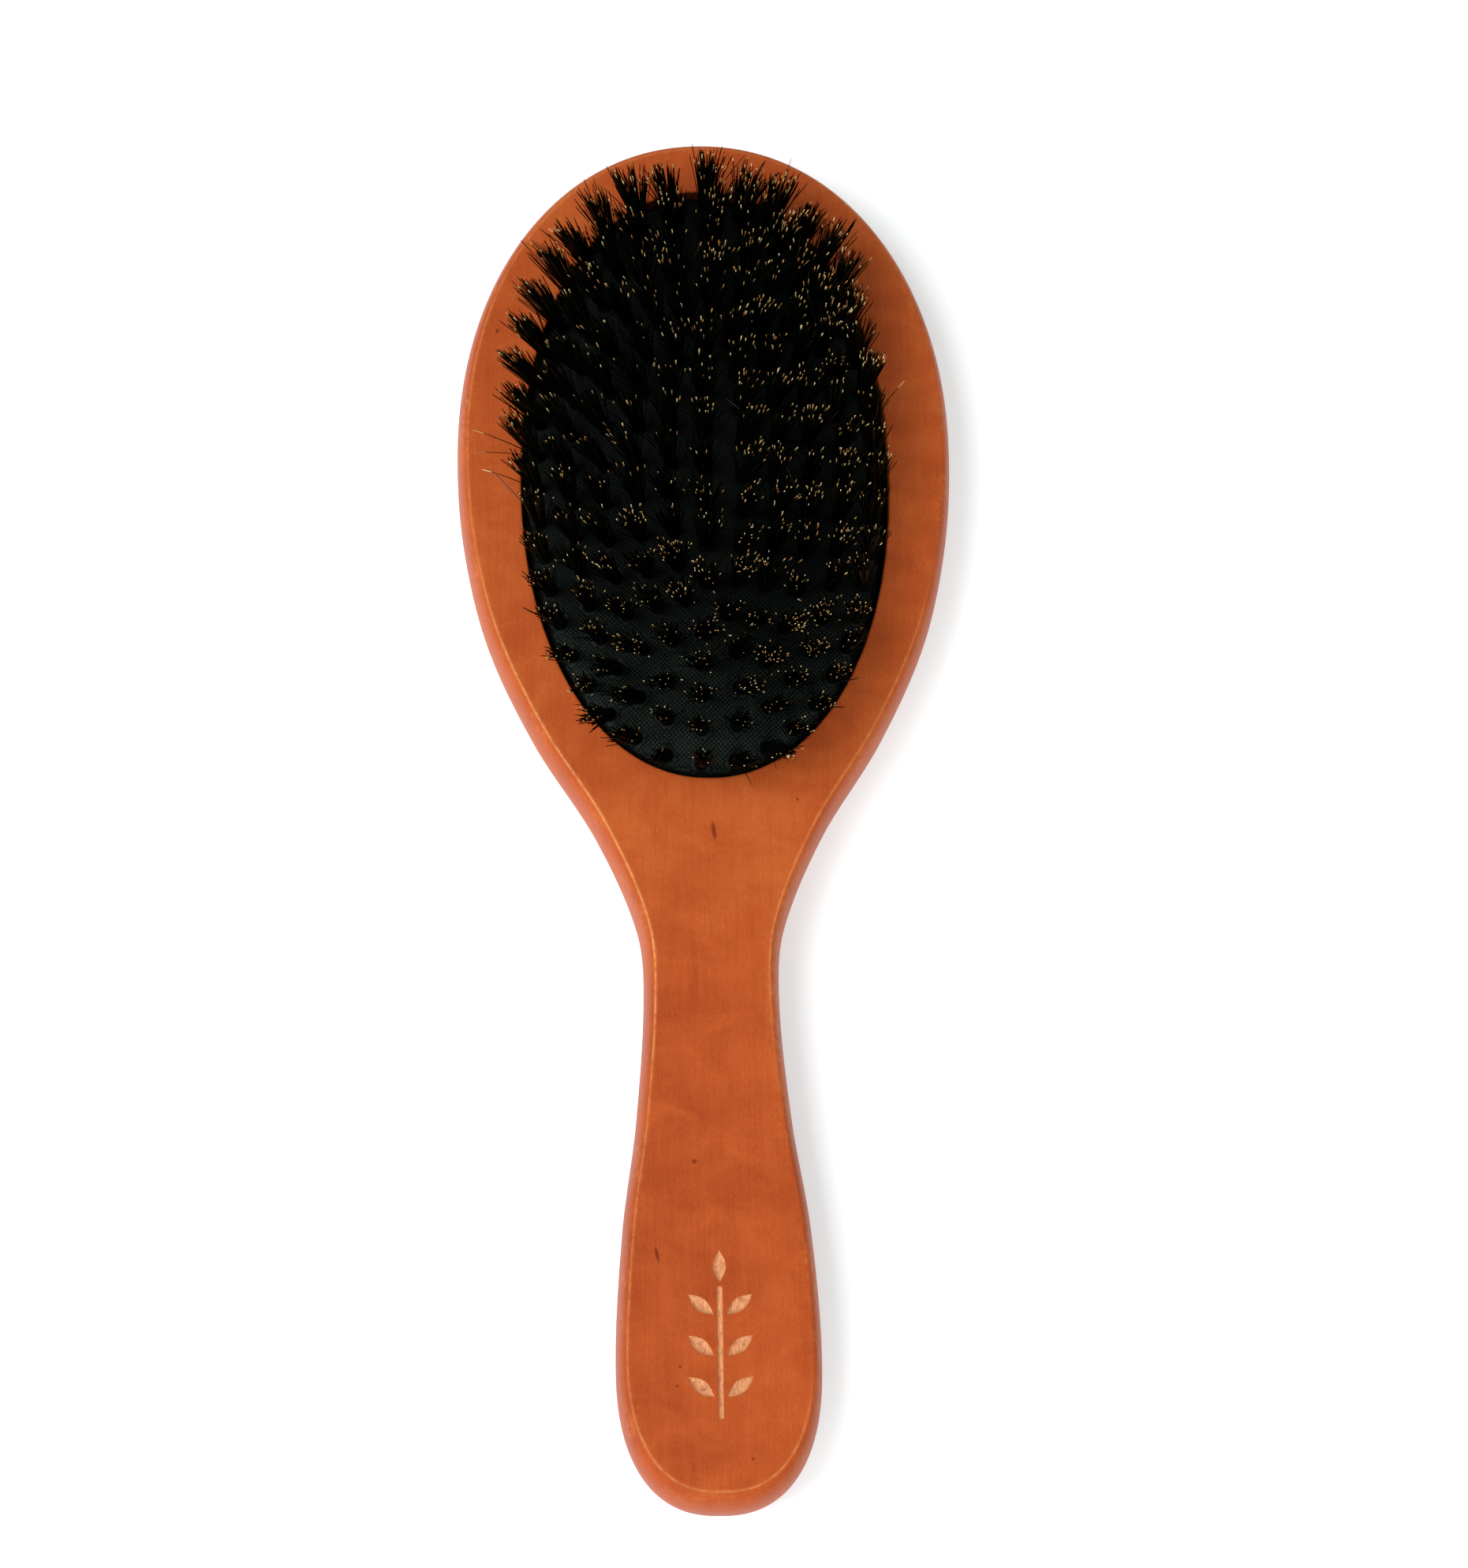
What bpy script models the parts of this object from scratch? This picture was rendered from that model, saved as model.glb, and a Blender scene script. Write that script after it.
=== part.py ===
"""Oval cushion hairbrush with natural bristle tufts, lying on its back with the bristles up.

One wooden body carries a domed rubber cushion, which snaps into an undercut groove round an
oval recess. The tufts stand in holes through the cushion in five concentric rings and a centre
row, and a draw wire behind the cushion ties each short run of tufts together. A backing cloth
covers the wires. Length runs along Y with the head at +Y, and the back of the body is at z = 0.
"""

import math

import bmesh
import bpy
from mathutils import Vector
from mathutils.geometry import delaunay_2d_cdt

MM = 0.001

# Wooden body, as half-widths along the length
BODY_THICKNESS = 14.0 * MM
WIDEST_LEVEL = 7.0 * MM
HEAD_CENTRE_Y = 57.0 * MM
HEAD_HALF_WIDTH = 39.0 * MM
HEAD_CAP_LENGTH = 51.7 * MM
HEAD_POWER = 2.08
GRIP_CENTRE_Y = -87.4 * MM
GRIP_HALF_WIDTH = 15.6 * MM
GRIP_CAP_LENGTH = 22.6 * MM
GRIP_POWER = 2.4
GRIP_DRIFT = 0.35 * MM
DRIFT_START_Y = -30.0 * MM
DRIFT_END_Y = -80.0 * MM
STATIONS = (
    (GRIP_CENTRE_Y, GRIP_HALF_WIDTH),
    (-67.0 * MM, 14.35 * MM),
    (-50.0 * MM, 11.9 * MM),
    (-31.0 * MM, 10.45 * MM),
    (-20.0 * MM, 11.4 * MM),
    (-5.0 * MM, 17.7 * MM),
    (10.0 * MM, 27.0 * MM),
    (26.0 * MM, 34.3 * MM),
    (42.0 * MM, 38.0 * MM),
    (HEAD_CENTRE_Y, HEAD_HALF_WIDTH),
)
TOP_EDGE = 1.7 * MM
TOP_EDGE_AT_GRIP_END = 2.8 * MM
BACK_EDGE = 6.0 * MM
EDGE_STEPS = 4
GRIP_CAP_STEPS = 8
SIDE_STEPS = 20
HEAD_CAP_STEPS = 13

# Oval recess and the cushion that fills it
OVAL_CENTRE_Y = 51.2 * MM
OVAL_HALF_WIDTH = 28.9 * MM
OVAL_CORE = 21.5 * MM
OVAL_HALF_LENGTH = 48.4 * MM
OVAL_POWER = 2.1
OVAL_SEGMENTS = 56
RECESS_FLOOR = 6.0 * MM
GROOVE_BOTTOM = 8.0 * MM
GROOVE_TOP = 10.5 * MM
GROOVE_DEPTH = 2.0 * MM
FIT_GAP = 0.3 * MM
PAD_THICKNESS = 1.3 * MM
PAD_RIM_HEIGHT = 11.4 * MM
PAD_RISE = 7.1 * MM
PAD_CURVE = 2.4
PAD_SHELL_INSET = 0.7 * MM

# Tufts, their draw wires and the backing cloth
RING_COUNTS = (43, 36, 28, 24, 20)
RING_RUNS = (11, 9, 7, 6, 5)
OUTER_RING_LEVEL = 0.905
RING_LEVEL_STEP = 0.178
RING_START = -1.2 * MM
OUTER_RING_LAG = 2.1 * MM
CENTRE_COUNT = 7
CENTRE_RUNS = 2
CENTRE_HALF_LENGTH = 18.4 * MM
CENTRE_ROW_X = -0.3 * MM
TUFT_SIDES = 6
TUFT_ROOT_RADIUS = 1.0 * MM
TUFT_TIP_RADIUS = 1.9 * MM
TIP_HEIGHT_AT_RIM = 28.8 * MM
TIP_HEIGHT_AT_CENTRE = 33.0 * MM
HOLE_RADIUS = 1.52 * MM
WIRE_BOTTOM = 2.6 * MM
WIRE_HEIGHT = 0.7 * MM
CLOTH_TOP = 3.8 * MM
CLOTH_THICKNESS = 0.5 * MM
CLOTH_INSET = 1.1 * MM
CLOTH_SEGMENTS = 40
CLOTH_LEVELS = (0.8, 0.6, 0.4, 0.2)
LEAN_LEFT = math.radians(20.0)
LEAN_LEFT_REACH = 26.0 * MM
LEAN_LEFT_POWER = 1.6
LEAN_LEFT_LOW_SHARE = 0.75
LEAN_LEFT_LOW_Y = 10.0 * MM
LEAN_LEFT_HIGH_Y = 34.0 * MM
LEAN_RIGHT = math.radians(7.0)
LEAN_RIGHT_PEAK_X = 9.0 * MM
LEAN_RIGHT_LOW_SHARE = 0.35
LEAN_RIGHT_LOW_Y = 25.0 * MM
LEAN_RIGHT_HIGH_Y = 60.0 * MM
LEAN_HEEL = math.radians(14.5)
LEAN_TOE = math.radians(5.5)
TOE_CALM = 0.3
HEEL_START_Y = 16.0 * MM
HEEL_END_Y = 48.0 * MM
RIM_START_X = 8.0 * MM
RIM_END_X = 26.0 * MM
UPRIGHT_SHARE_LEFT = 0.75
UPRIGHT_LEFT_Y = (8.0 * MM, 20.0 * MM, 40.0 * MM, 66.0 * MM)
UPRIGHT_RIGHT = math.radians(3.5)
UPRIGHT_RIGHT_Y = (14.0 * MM, 26.0 * MM, 66.0 * MM, 84.0 * MM)

# Leaf sprig engraved in the handle
SPRIG_CENTRE_Y = -85.7 * MM
SPRIG_LEAF_PITCH = 6.2 * MM
SPRIG_LEAF_PAIRS = 3
LEAF_LENGTH = 5.0 * MM
LEAF_HALF_WIDTH = 1.0 * MM
LEAF_ANGLE = math.radians(38.0)
LEAF_STEPS = 5
STEM_HALF_WIDTH = 0.45 * MM
STEM_TO_LEAF = 0.5 * MM
ENGRAVING_DEPTH = 0.4 * MM


def clear_scene():
    for old in list(bpy.data.objects):
        bpy.data.objects.remove(old, do_unlink=True)


def make_material(name, colour, roughness):
    material = bpy.data.materials.new(name)
    material.use_nodes = True
    shader = material.node_tree.nodes["Principled BSDF"]
    shader.inputs["Base Color"].default_value = (*colour, 1.0)
    shader.inputs["Roughness"].default_value = roughness
    shader.inputs["Metallic"].default_value = 0.0
    return material


def add_object(name, bm, material, parent=None):
    """Make an object from bmesh geometry given in world space."""
    bmesh.ops.recalc_face_normals(bm, faces=bm.faces)
    if parent is not None:
        bmesh.ops.translate(bm, vec=-parent.location, verts=bm.verts)
    mesh = bpy.data.meshes.new(name)
    bm.to_mesh(mesh)
    bm.free()
    mesh.materials.append(material)
    mesh.shade_smooth()
    mesh.set_sharp_from_angle(angle=math.radians(35.0))
    made = bpy.data.objects.new(name, mesh)
    bpy.context.scene.collection.objects.link(made)
    made.parent = parent
    return made


def bridge_rings(bm, rings):
    """Join a stack of closed loops of vertices with quads."""
    for low, high in zip(rings, rings[1:]):
        for i in range(len(low)):
            j = (i + 1) % len(low)
            bm.faces.new((low[i], low[j], high[j], high[i]))


def loft(rings):
    """Skin a stack of closed loops of points and cap both ends."""
    bm = bmesh.new()
    loops = [[bm.verts.new(point) for point in ring] for ring in rings]
    bridge_rings(bm, loops)
    bm.faces.new(loops[0])
    bm.faces.new(loops[-1])
    return bm


def cut(target, cutter):
    cutter.hide_render = True
    cutter.display_type = "WIRE"
    modifier = target.modifiers.new(cutter.name, "BOOLEAN")
    modifier.operation = "DIFFERENCE"
    modifier.solver = "EXACT"
    modifier.object = cutter


def smoothstep(value):
    value = min(max(value, 0.0), 1.0)
    return value * value * (3.0 - 2.0 * value)


def superellipse(angle, half_x, half_y, power):
    c, s = math.cos(angle), math.sin(angle)
    x = half_x * math.copysign(abs(c) ** (2.0 / power), c)
    y = half_y * math.copysign(abs(s) ** (2.0 / power), s)
    return x, y


# Wooden body


def half_width(y):
    """Half-width between the two end caps, a cubic through the stations."""
    slopes = [0.0]
    for before, after in zip(STATIONS, STATIONS[2:]):
        slopes.append((after[1] - before[1]) / (after[0] - before[0]))
    slopes.append(0.0)
    i = max(k for k in range(len(STATIONS) - 1) if STATIONS[k][0] <= y)
    (y0, w0), (y1, w1) = STATIONS[i], STATIONS[i + 1]
    h = y1 - y0
    u = (y - y0) / h
    start = w0 * (1.0 + 2.0 * u) * (1.0 - u) ** 2 + slopes[i] * h * u * (1.0 - u) ** 2
    end = w1 * u * u * (3.0 - 2.0 * u) + slopes[i + 1] * h * u * u * (u - 1.0)
    return start + end


def grip_drift(y):
    """Sideways shift of the centre line towards the end of the grip."""
    return GRIP_DRIFT * smoothstep((DRIFT_START_Y - y) / (DRIFT_START_Y - DRIFT_END_Y))


def body_outline():
    """Widest outline of the body, anticlockwise from the end of the grip."""
    side = []
    for k in range(GRIP_CAP_STEPS):
        angle = -0.5 * math.pi * (1.0 - k / GRIP_CAP_STEPS)
        x, y = superellipse(angle, GRIP_HALF_WIDTH, GRIP_CAP_LENGTH, GRIP_POWER)
        side.append((x, GRIP_CENTRE_Y + y))
    for k in range(SIDE_STEPS):
        y = GRIP_CENTRE_Y + (HEAD_CENTRE_Y - GRIP_CENTRE_Y) * k / SIDE_STEPS
        side.append((half_width(y), y))
    for k in range(HEAD_CAP_STEPS + 1):
        angle = 0.5 * math.pi * k / HEAD_CAP_STEPS
        x, y = superellipse(angle, HEAD_HALF_WIDTH, HEAD_CAP_LENGTH, HEAD_POWER)
        side.append((x, HEAD_CENTRE_Y + y))
    both_sides = side + [(-x, y) for x, y in reversed(side[1:-1])]
    return [(x + grip_drift(y), y) for x, y in both_sides]


def outline_normals(outline):
    normals = []
    for i in range(len(outline)):
        before, after = outline[i - 1], outline[(i + 1) % len(outline)]
        tangent = Vector((after[0] - before[0], after[1] - before[1])).normalized()
        normals.append((tangent.y, -tangent.x))
    return normals


def top_edge(y):
    """Width of the upper edge rounding, which grows round the end of the grip."""
    towards_end = min(max((GRIP_CENTRE_Y - y) / GRIP_CAP_LENGTH, 0.0), 1.0)
    return TOP_EDGE + (TOP_EDGE_AT_GRIP_END - TOP_EDGE) * towards_end ** 1.5


def body_ring(outline, normals, share, upper):
    """One loop of the edge rounding: share runs from 0 at the widest level to 1 at a flat face."""
    angle = 0.5 * math.pi * share
    inward = 1.0 - math.cos(angle)
    if upper:
        z = WIDEST_LEVEL + (BODY_THICKNESS - WIDEST_LEVEL) * math.sin(angle)
    else:
        z = WIDEST_LEVEL * (1.0 - math.sin(angle))
    ring = []
    for (x, y), (nx, ny) in zip(outline, normals):
        inset = inward * (top_edge(y) if upper else BACK_EDGE)
        ring.append((x - inset * nx, y - inset * ny, z))
    return ring


def oval_ring(offset, z, segments=OVAL_SEGMENTS):
    """Loop that follows the oval opening, offset outwards."""
    ring = []
    for k in range(segments):
        angle = 2.0 * math.pi * k / segments
        x, y = superellipse(angle, OVAL_HALF_WIDTH + offset, OVAL_HALF_LENGTH + offset, OVAL_POWER)
        ring.append((x, OVAL_CENTRE_Y + y, z))
    return ring


def make_recess_cutter(material):
    rings = (
        oval_ring(0.0, RECESS_FLOOR),
        oval_ring(0.0, GROOVE_BOTTOM),
        oval_ring(GROOVE_DEPTH, GROOVE_BOTTOM),
        oval_ring(GROOVE_DEPTH, GROOVE_TOP),
        oval_ring(0.0, GROOVE_TOP),
        oval_ring(0.0, BODY_THICKNESS + 5.0 * MM),
    )
    return add_object("recess_cutter", loft(rings), material)


def leaf_outline(x, y, angle, length):
    """Pointed leaf that starts at x, y and runs along angle."""
    side = [(length * k / LEAF_STEPS, LEAF_HALF_WIDTH * math.sin(math.pi * k / LEAF_STEPS))
            for k in range(LEAF_STEPS + 1)]
    loop = side + [(along, -across) for along, across in reversed(side[1:-1])]
    c, s = math.cos(angle), math.sin(angle)
    return [(x + along * c - across * s, y + along * s + across * c) for along, across in loop]


def sprig_outlines():
    """Stem, leaf pairs and end leaf of the engraved sprig."""
    half = 0.5 * SPRIG_LEAF_PAIRS * SPRIG_LEAF_PITCH
    low, high = SPRIG_CENTRE_Y - half - 1.5 * MM, SPRIG_CENTRE_Y + half
    left, right = GRIP_DRIFT - STEM_HALF_WIDTH, GRIP_DRIFT + STEM_HALF_WIDTH
    stem = [(left, low), (right, low), (right, high), (left, high)]
    outlines = [stem]
    for k in range(SPRIG_LEAF_PAIRS):
        y = SPRIG_CENTRE_Y - half + SPRIG_LEAF_PITCH * (k + 0.3)
        reach = STEM_HALF_WIDTH + STEM_TO_LEAF
        outlines.append(leaf_outline(GRIP_DRIFT + reach, y, LEAF_ANGLE, LEAF_LENGTH))
        outlines.append(leaf_outline(GRIP_DRIFT - reach, y, math.pi - LEAF_ANGLE, LEAF_LENGTH))
    outlines.append(leaf_outline(GRIP_DRIFT, high + STEM_TO_LEAF, 0.5 * math.pi, LEAF_LENGTH))
    return outlines


def make_engraving_cutter(material):
    bm = bmesh.new()
    for outline in sprig_outlines():
        low = [bm.verts.new((x, y, BODY_THICKNESS - ENGRAVING_DEPTH)) for x, y in outline]
        high = [bm.verts.new((x, y, BODY_THICKNESS + 1.0 * MM)) for x, y in outline]
        bridge_rings(bm, (low, high))
        bm.faces.new(low)
        bm.faces.new(high)
    return add_object("engraving_cutter", bm, material)


def make_body(material):
    outline = body_outline()
    normals = outline_normals(outline)
    shares = [k / EDGE_STEPS for k in range(EDGE_STEPS + 1)]
    rings = [body_ring(outline, normals, share, False) for share in reversed(shares)]
    rings += [body_ring(outline, normals, share, True) for share in shares[1:]]
    body = add_object("wood_body", loft(rings), material)
    cut(body, make_recess_cutter(material))
    cut(body, make_engraving_cutter(material))
    return body


# Cushion


def level_axes(level):
    """Half-axes of the oval at a level: 0 is the centre line and 1 is the opening."""
    core = OVAL_CORE + (OVAL_HALF_LENGTH - OVAL_CORE) * level
    return OVAL_HALF_WIDTH * level, core


def level_at(x, y):
    """Level of the oval that passes through x, y."""
    low, high = 1e-6, 1.5
    for _ in range(40):
        level = 0.5 * (low + high)
        half_x, half_y = level_axes(level)
        reach = abs(x / half_x) ** OVAL_POWER + abs((y - OVAL_CENTRE_Y) / half_y) ** OVAL_POWER
        if reach > 1.0:
            low = level
        else:
            high = level
    return high


def dome_share(level):
    """Height of the dome over its rim, as a share of the rise."""
    return 1.0 - level ** PAD_CURVE


def dome_height(x, y):
    return PAD_RIM_HEIGHT + PAD_RISE * dome_share(level_at(x, y))


def between(value, limits):
    """Share that rises over the first two limits and falls over the last two."""
    rise = smoothstep((value - limits[0]) / (limits[1] - limits[0]))
    fall = smoothstep((limits[3] - value) / (limits[3] - limits[2]))
    return rise * fall


def lean_of(x, y):
    """Sideways and lengthways slope of a tuft: the tufts fan out, and less so at the waist."""
    heel = 1.0 - smoothstep((y - HEEL_START_Y) / (HEEL_END_Y - HEEL_START_Y))
    toe_y = OVAL_CENTRE_Y + OVAL_HALF_LENGTH
    toe = max(y - OVAL_CENTRE_Y, 0.0) / (toe_y - OVAL_CENTRE_Y)
    rim = smoothstep((abs(x) - RIM_START_X) / (RIM_END_X - RIM_START_X))
    if x < 0.0:
        reach = min(-x / LEAN_LEFT_REACH, 1.0)
        upper = smoothstep((y - LEAN_LEFT_LOW_Y) / (LEAN_LEFT_HIGH_Y - LEAN_LEFT_LOW_Y))
        side = -LEAN_LEFT * (1.0 - (1.0 - reach) ** LEAN_LEFT_POWER)
        side *= LEAN_LEFT_LOW_SHARE + (1.0 - LEAN_LEFT_LOW_SHARE) * upper
        side *= 1.0 - UPRIGHT_SHARE_LEFT * rim * between(y, UPRIGHT_LEFT_Y)
        side *= 1.0 - TOE_CALM * toe * toe
    else:
        reach = x / (LEAN_RIGHT_PEAK_X * (1.0 + toe))
        upper = smoothstep((y - LEAN_RIGHT_LOW_Y) / (LEAN_RIGHT_HIGH_Y - LEAN_RIGHT_LOW_Y))
        side = LEAN_RIGHT * reach * math.exp(1.0 - reach)
        side *= LEAN_RIGHT_LOW_SHARE + (1.0 - LEAN_RIGHT_LOW_SHARE) * upper
        side -= UPRIGHT_RIGHT * rim * between(y, UPRIGHT_RIGHT_Y)
    return math.tan(side), math.tan(LEAN_TOE * toe - LEAN_HEEL * heel)


def ring_points(level, count, lag):
    """Points along one oval ring, from the end by the handle; a lag packs the right side closer."""
    half_x, half_y = level_axes(level)
    fine = 720
    loop = [superellipse(2.0 * math.pi * k / fine - 0.5 * math.pi, half_x, half_y, OVAL_POWER)
            for k in range(fine + 1)]
    lengths = [0.0]
    for a, b in zip(loop, loop[1:]):
        lengths.append(lengths[-1] + math.dist(a, b))
    points = []
    for k in range(count):
        held_back = lag * math.sin(math.pi * k / count)
        target = (RING_START + lengths[-1] * k / count - held_back) % lengths[-1]
        i = max(j for j in range(fine) if lengths[j] <= target)
        u = (target - lengths[i]) / (lengths[i + 1] - lengths[i])
        x = loop[i][0] + u * (loop[i + 1][0] - loop[i][0])
        y = loop[i][1] + u * (loop[i + 1][1] - loop[i][1])
        points.append((x, OVAL_CENTRE_Y + y))
    return points


def centre_points():
    step = 2.0 * CENTRE_HALF_LENGTH / (CENTRE_COUNT - 1)
    low = OVAL_CENTRE_Y - CENTRE_HALF_LENGTH
    return [(CENTRE_ROW_X, low + step * k) for k in range(CENTRE_COUNT)]


def tuft_rows():
    """Each row's name, its tuft positions and how many runs it is split into."""
    rows = []
    for i, (count, runs) in enumerate(zip(RING_COUNTS, RING_RUNS)):
        level = OUTER_RING_LEVEL - RING_LEVEL_STEP * i
        lag = 0.0 if i else OUTER_RING_LAG
        rows.append((f"ring{i + 1}", ring_points(level, count, lag), runs))
    rows.append(("centre", centre_points(), CENTRE_RUNS))
    return rows


def hexagon(x, y, facing, radius):
    """Corners of a hexagon with a flat side towards facing."""
    turn = 2.0 * math.pi / TUFT_SIDES
    return [(x + radius * math.cos(facing + turn * (k - 0.5)),
             y + radius * math.sin(facing + turn * (k - 0.5))) for k in range(TUFT_SIDES)]


def facing_of(points, i, closed):
    """Direction of the row at one tuft."""
    last = len(points) - 1
    before = points[i - 1] if i > 0 or closed else points[0]
    after = points[(i + 1) % len(points)] if i < last or closed else points[last]
    return math.atan2(after[1] - before[1], after[0] - before[0])


def make_cushion(rows, material):
    """Domed shell with a hole for each tuft and a bead that sits in the groove."""
    rim = [Vector(p[:2]) / MM for p in oval_ring(-PAD_SHELL_INSET, 0.0)]
    plan = list(rim)
    loops = [list(range(len(rim)))]
    middle = PAD_THICKNESS / 2.0
    for name, points, _ in rows:
        for i, (x, y) in enumerate(points):
            lean_x, lean_y = lean_of(x, y)
            facing = facing_of(points, i, name != "centre")
            centre_x, centre_y = x - lean_x * middle, y - lean_y * middle
            corners = hexagon(centre_x, centre_y, facing, HOLE_RADIUS)
            loops.append(list(range(len(plan), len(plan) + TUFT_SIDES)))
            plan += [Vector(corner) / MM for corner in corners]
    edges = [(loop[k], loop[(k + 1) % len(loop)]) for loop in loops for k in range(len(loop))]
    inside_edges = 1
    flat, _, faces, origins, _, _ = delaunay_2d_cdt(plan, edges, [], inside_edges, 1e-5)
    place = {old: new for new, olds in enumerate(origins) for old in olds}
    loops = [[place[k] for k in loop] for loop in loops]
    hole_of = {k: i for i, loop in enumerate(loops) if i > 0 for k in loop}

    bm = bmesh.new()
    above, below = [], []
    for point in flat:
        x, y = point * MM
        z = dome_height(x, y)
        above.append(bm.verts.new((x, y, z)))
        below.append(bm.verts.new((x, y, z - PAD_THICKNESS)))
    for face in faces:
        holes = {hole_of.get(k) for k in face}
        if len(holes) > 1 or None in holes:
            bm.faces.new([above[k] for k in face])
            bm.faces.new([below[k] for k in reversed(face)])
    for loop in loops[1:]:
        bridge_rings(bm, ([above[k] for k in loop], [below[k] for k in loop]))

    lip = oval_ring(-FIT_GAP, 0.0)
    lip_height = dome_height(*lip[0][:2])
    bead = (
        (-FIT_GAP, lip_height),
        (-FIT_GAP, GROOVE_TOP - FIT_GAP),
        (GROOVE_DEPTH - FIT_GAP, GROOVE_TOP - FIT_GAP),
        (GROOVE_DEPTH - FIT_GAP, GROOVE_BOTTOM + FIT_GAP),
        (-PAD_SHELL_INSET, GROOVE_BOTTOM + FIT_GAP),
    )
    rings = [[above[k] for k in loops[0]]]
    rings += [[bm.verts.new(point) for point in oval_ring(offset, z)] for offset, z in bead]
    rings.append([below[k] for k in loops[0]])
    bridge_rings(bm, rings)
    return add_object("cushion_pad", bm, material)


def level_ring(level, drop):
    """Loop of constant level, dropped below the top of the cushion."""
    half_x, half_y = level_axes(level)
    z = PAD_RIM_HEIGHT + PAD_RISE * dome_share(level) - drop
    ring = []
    for k in range(CLOTH_SEGMENTS):
        x, y = superellipse(2.0 * math.pi * k / CLOTH_SEGMENTS, half_x, half_y, OVAL_POWER)
        ring.append((x, OVAL_CENTRE_Y + y, z))
    return ring


def make_backing_cloth(material):
    edge_level = 1.0 - CLOTH_INSET / OVAL_HALF_WIDTH
    levels = (edge_level, *CLOTH_LEVELS)
    rings = [level_ring(level, CLOTH_TOP) for level in reversed(levels)]
    rings += [level_ring(level, CLOTH_TOP + CLOTH_THICKNESS) for level in levels]
    return add_object("backing_cloth", loft(rings), material)


# Tufts


def tuft_sections(x, y, facing):
    """Rings of one tuft: the two sides of the draw wire and the tips."""
    share = dome_share(level_at(x, y))
    z = PAD_RIM_HEIGHT + PAD_RISE * share
    tip_z = TIP_HEIGHT_AT_RIM + (TIP_HEIGHT_AT_CENTRE - TIP_HEIGHT_AT_RIM) * share
    heights = (z - WIRE_BOTTOM, z - WIRE_BOTTOM + WIRE_HEIGHT, tip_z)
    radii = (TUFT_ROOT_RADIUS, TUFT_ROOT_RADIUS, TUFT_TIP_RADIUS)
    lean_x, lean_y = lean_of(x, y)
    sections = []
    for height, radius in zip(heights, radii):
        rise = height - z
        ring = hexagon(x + lean_x * rise, y + lean_y * rise, facing, radius)
        sections.append([(px, py, height) for px, py in ring])
    return sections


def make_run(name, tufts, material, parent):
    """One run of tufts joined by the draw wire behind the cushion."""
    bm = bmesh.new()
    forward, backward = 0, TUFT_SIDES // 2
    last_open = None
    for i, (x, y, facing) in enumerate(tufts):
        low, high, tip = [[bm.verts.new(p) for p in ring] for ring in tuft_sections(x, y, facing)]
        bm.faces.new(low)
        bm.faces.new(tip)
        bridge_rings(bm, (high, tip))
        first, final = i == 0, i == len(tufts) - 1
        for k in range(TUFT_SIDES):
            j = (k + 1) % TUFT_SIDES
            wired = (k == forward and not final) or (k == backward and not first)
            if not wired:
                bm.faces.new((low[k], low[j], high[j], high[k]))
        if not first:
            k, j = backward, backward + 1
            facing_side = (low[j], low[k], high[k], high[j])
            bridge_rings(bm, (last_open, facing_side))
        last_open = (low[forward], low[forward + 1], high[forward + 1], high[forward])
    return add_object(name, bm, material, parent)


def make_tufts(rows, material):
    letters = "abcdefghijklmnopqrstuvwxyz"
    for name, points, runs in rows:
        carrier = bpy.data.objects.new(f"carrier_{name}", None)
        carrier.location = (0.0, OVAL_CENTRE_Y, PAD_RIM_HEIGHT)
        bpy.context.scene.collection.objects.link(carrier)
        tufts = [(x, y, facing_of(points, i, name != "centre")) for i, (x, y) in enumerate(points)]
        starts = [round(len(tufts) * k / runs) for k in range(runs + 1)]
        for letter, start, end in zip(letters, starts, starts[1:]):
            make_run(f"tufts_{name}_{letter}", tufts[start:end], material, carrier)


def main():
    clear_scene()
    wood = make_material("varnished_wood", (0.50, 0.15, 0.045), 0.42)
    rubber = make_material("pad_rubber", (0.018, 0.022, 0.021), 0.6)
    cloth = make_material("backing_cloth", (0.05, 0.045, 0.04), 0.9)
    bristle = make_material("bristle", (0.02, 0.016, 0.012), 0.5)
    rows = tuft_rows()
    make_body(wood)
    make_cushion(rows, rubber)
    make_backing_cloth(cloth)
    make_tufts(rows, bristle)


main()
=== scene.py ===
"""Looks of the oval cushion hairbrush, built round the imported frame."""

import math

import bmesh
import bpy
import numpy as np
from mathutils import Matrix, Vector
from mathutils.geometry import delaunay_2d_cdt


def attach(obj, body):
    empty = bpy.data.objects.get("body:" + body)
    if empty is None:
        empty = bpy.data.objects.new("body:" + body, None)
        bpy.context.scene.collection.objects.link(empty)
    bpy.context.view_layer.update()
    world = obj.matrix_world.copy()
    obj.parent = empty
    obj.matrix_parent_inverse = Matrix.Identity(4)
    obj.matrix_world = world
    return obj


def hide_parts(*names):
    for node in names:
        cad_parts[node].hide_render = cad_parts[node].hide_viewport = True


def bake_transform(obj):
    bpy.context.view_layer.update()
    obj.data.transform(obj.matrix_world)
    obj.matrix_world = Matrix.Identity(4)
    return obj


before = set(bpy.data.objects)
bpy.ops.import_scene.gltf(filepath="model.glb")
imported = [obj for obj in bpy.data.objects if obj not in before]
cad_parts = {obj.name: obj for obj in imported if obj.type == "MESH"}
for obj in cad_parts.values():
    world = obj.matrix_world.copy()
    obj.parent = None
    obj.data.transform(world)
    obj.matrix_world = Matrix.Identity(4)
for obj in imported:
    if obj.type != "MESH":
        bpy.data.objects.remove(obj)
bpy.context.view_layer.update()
rng = np.random.default_rng(11)

MM = 0.001

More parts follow.
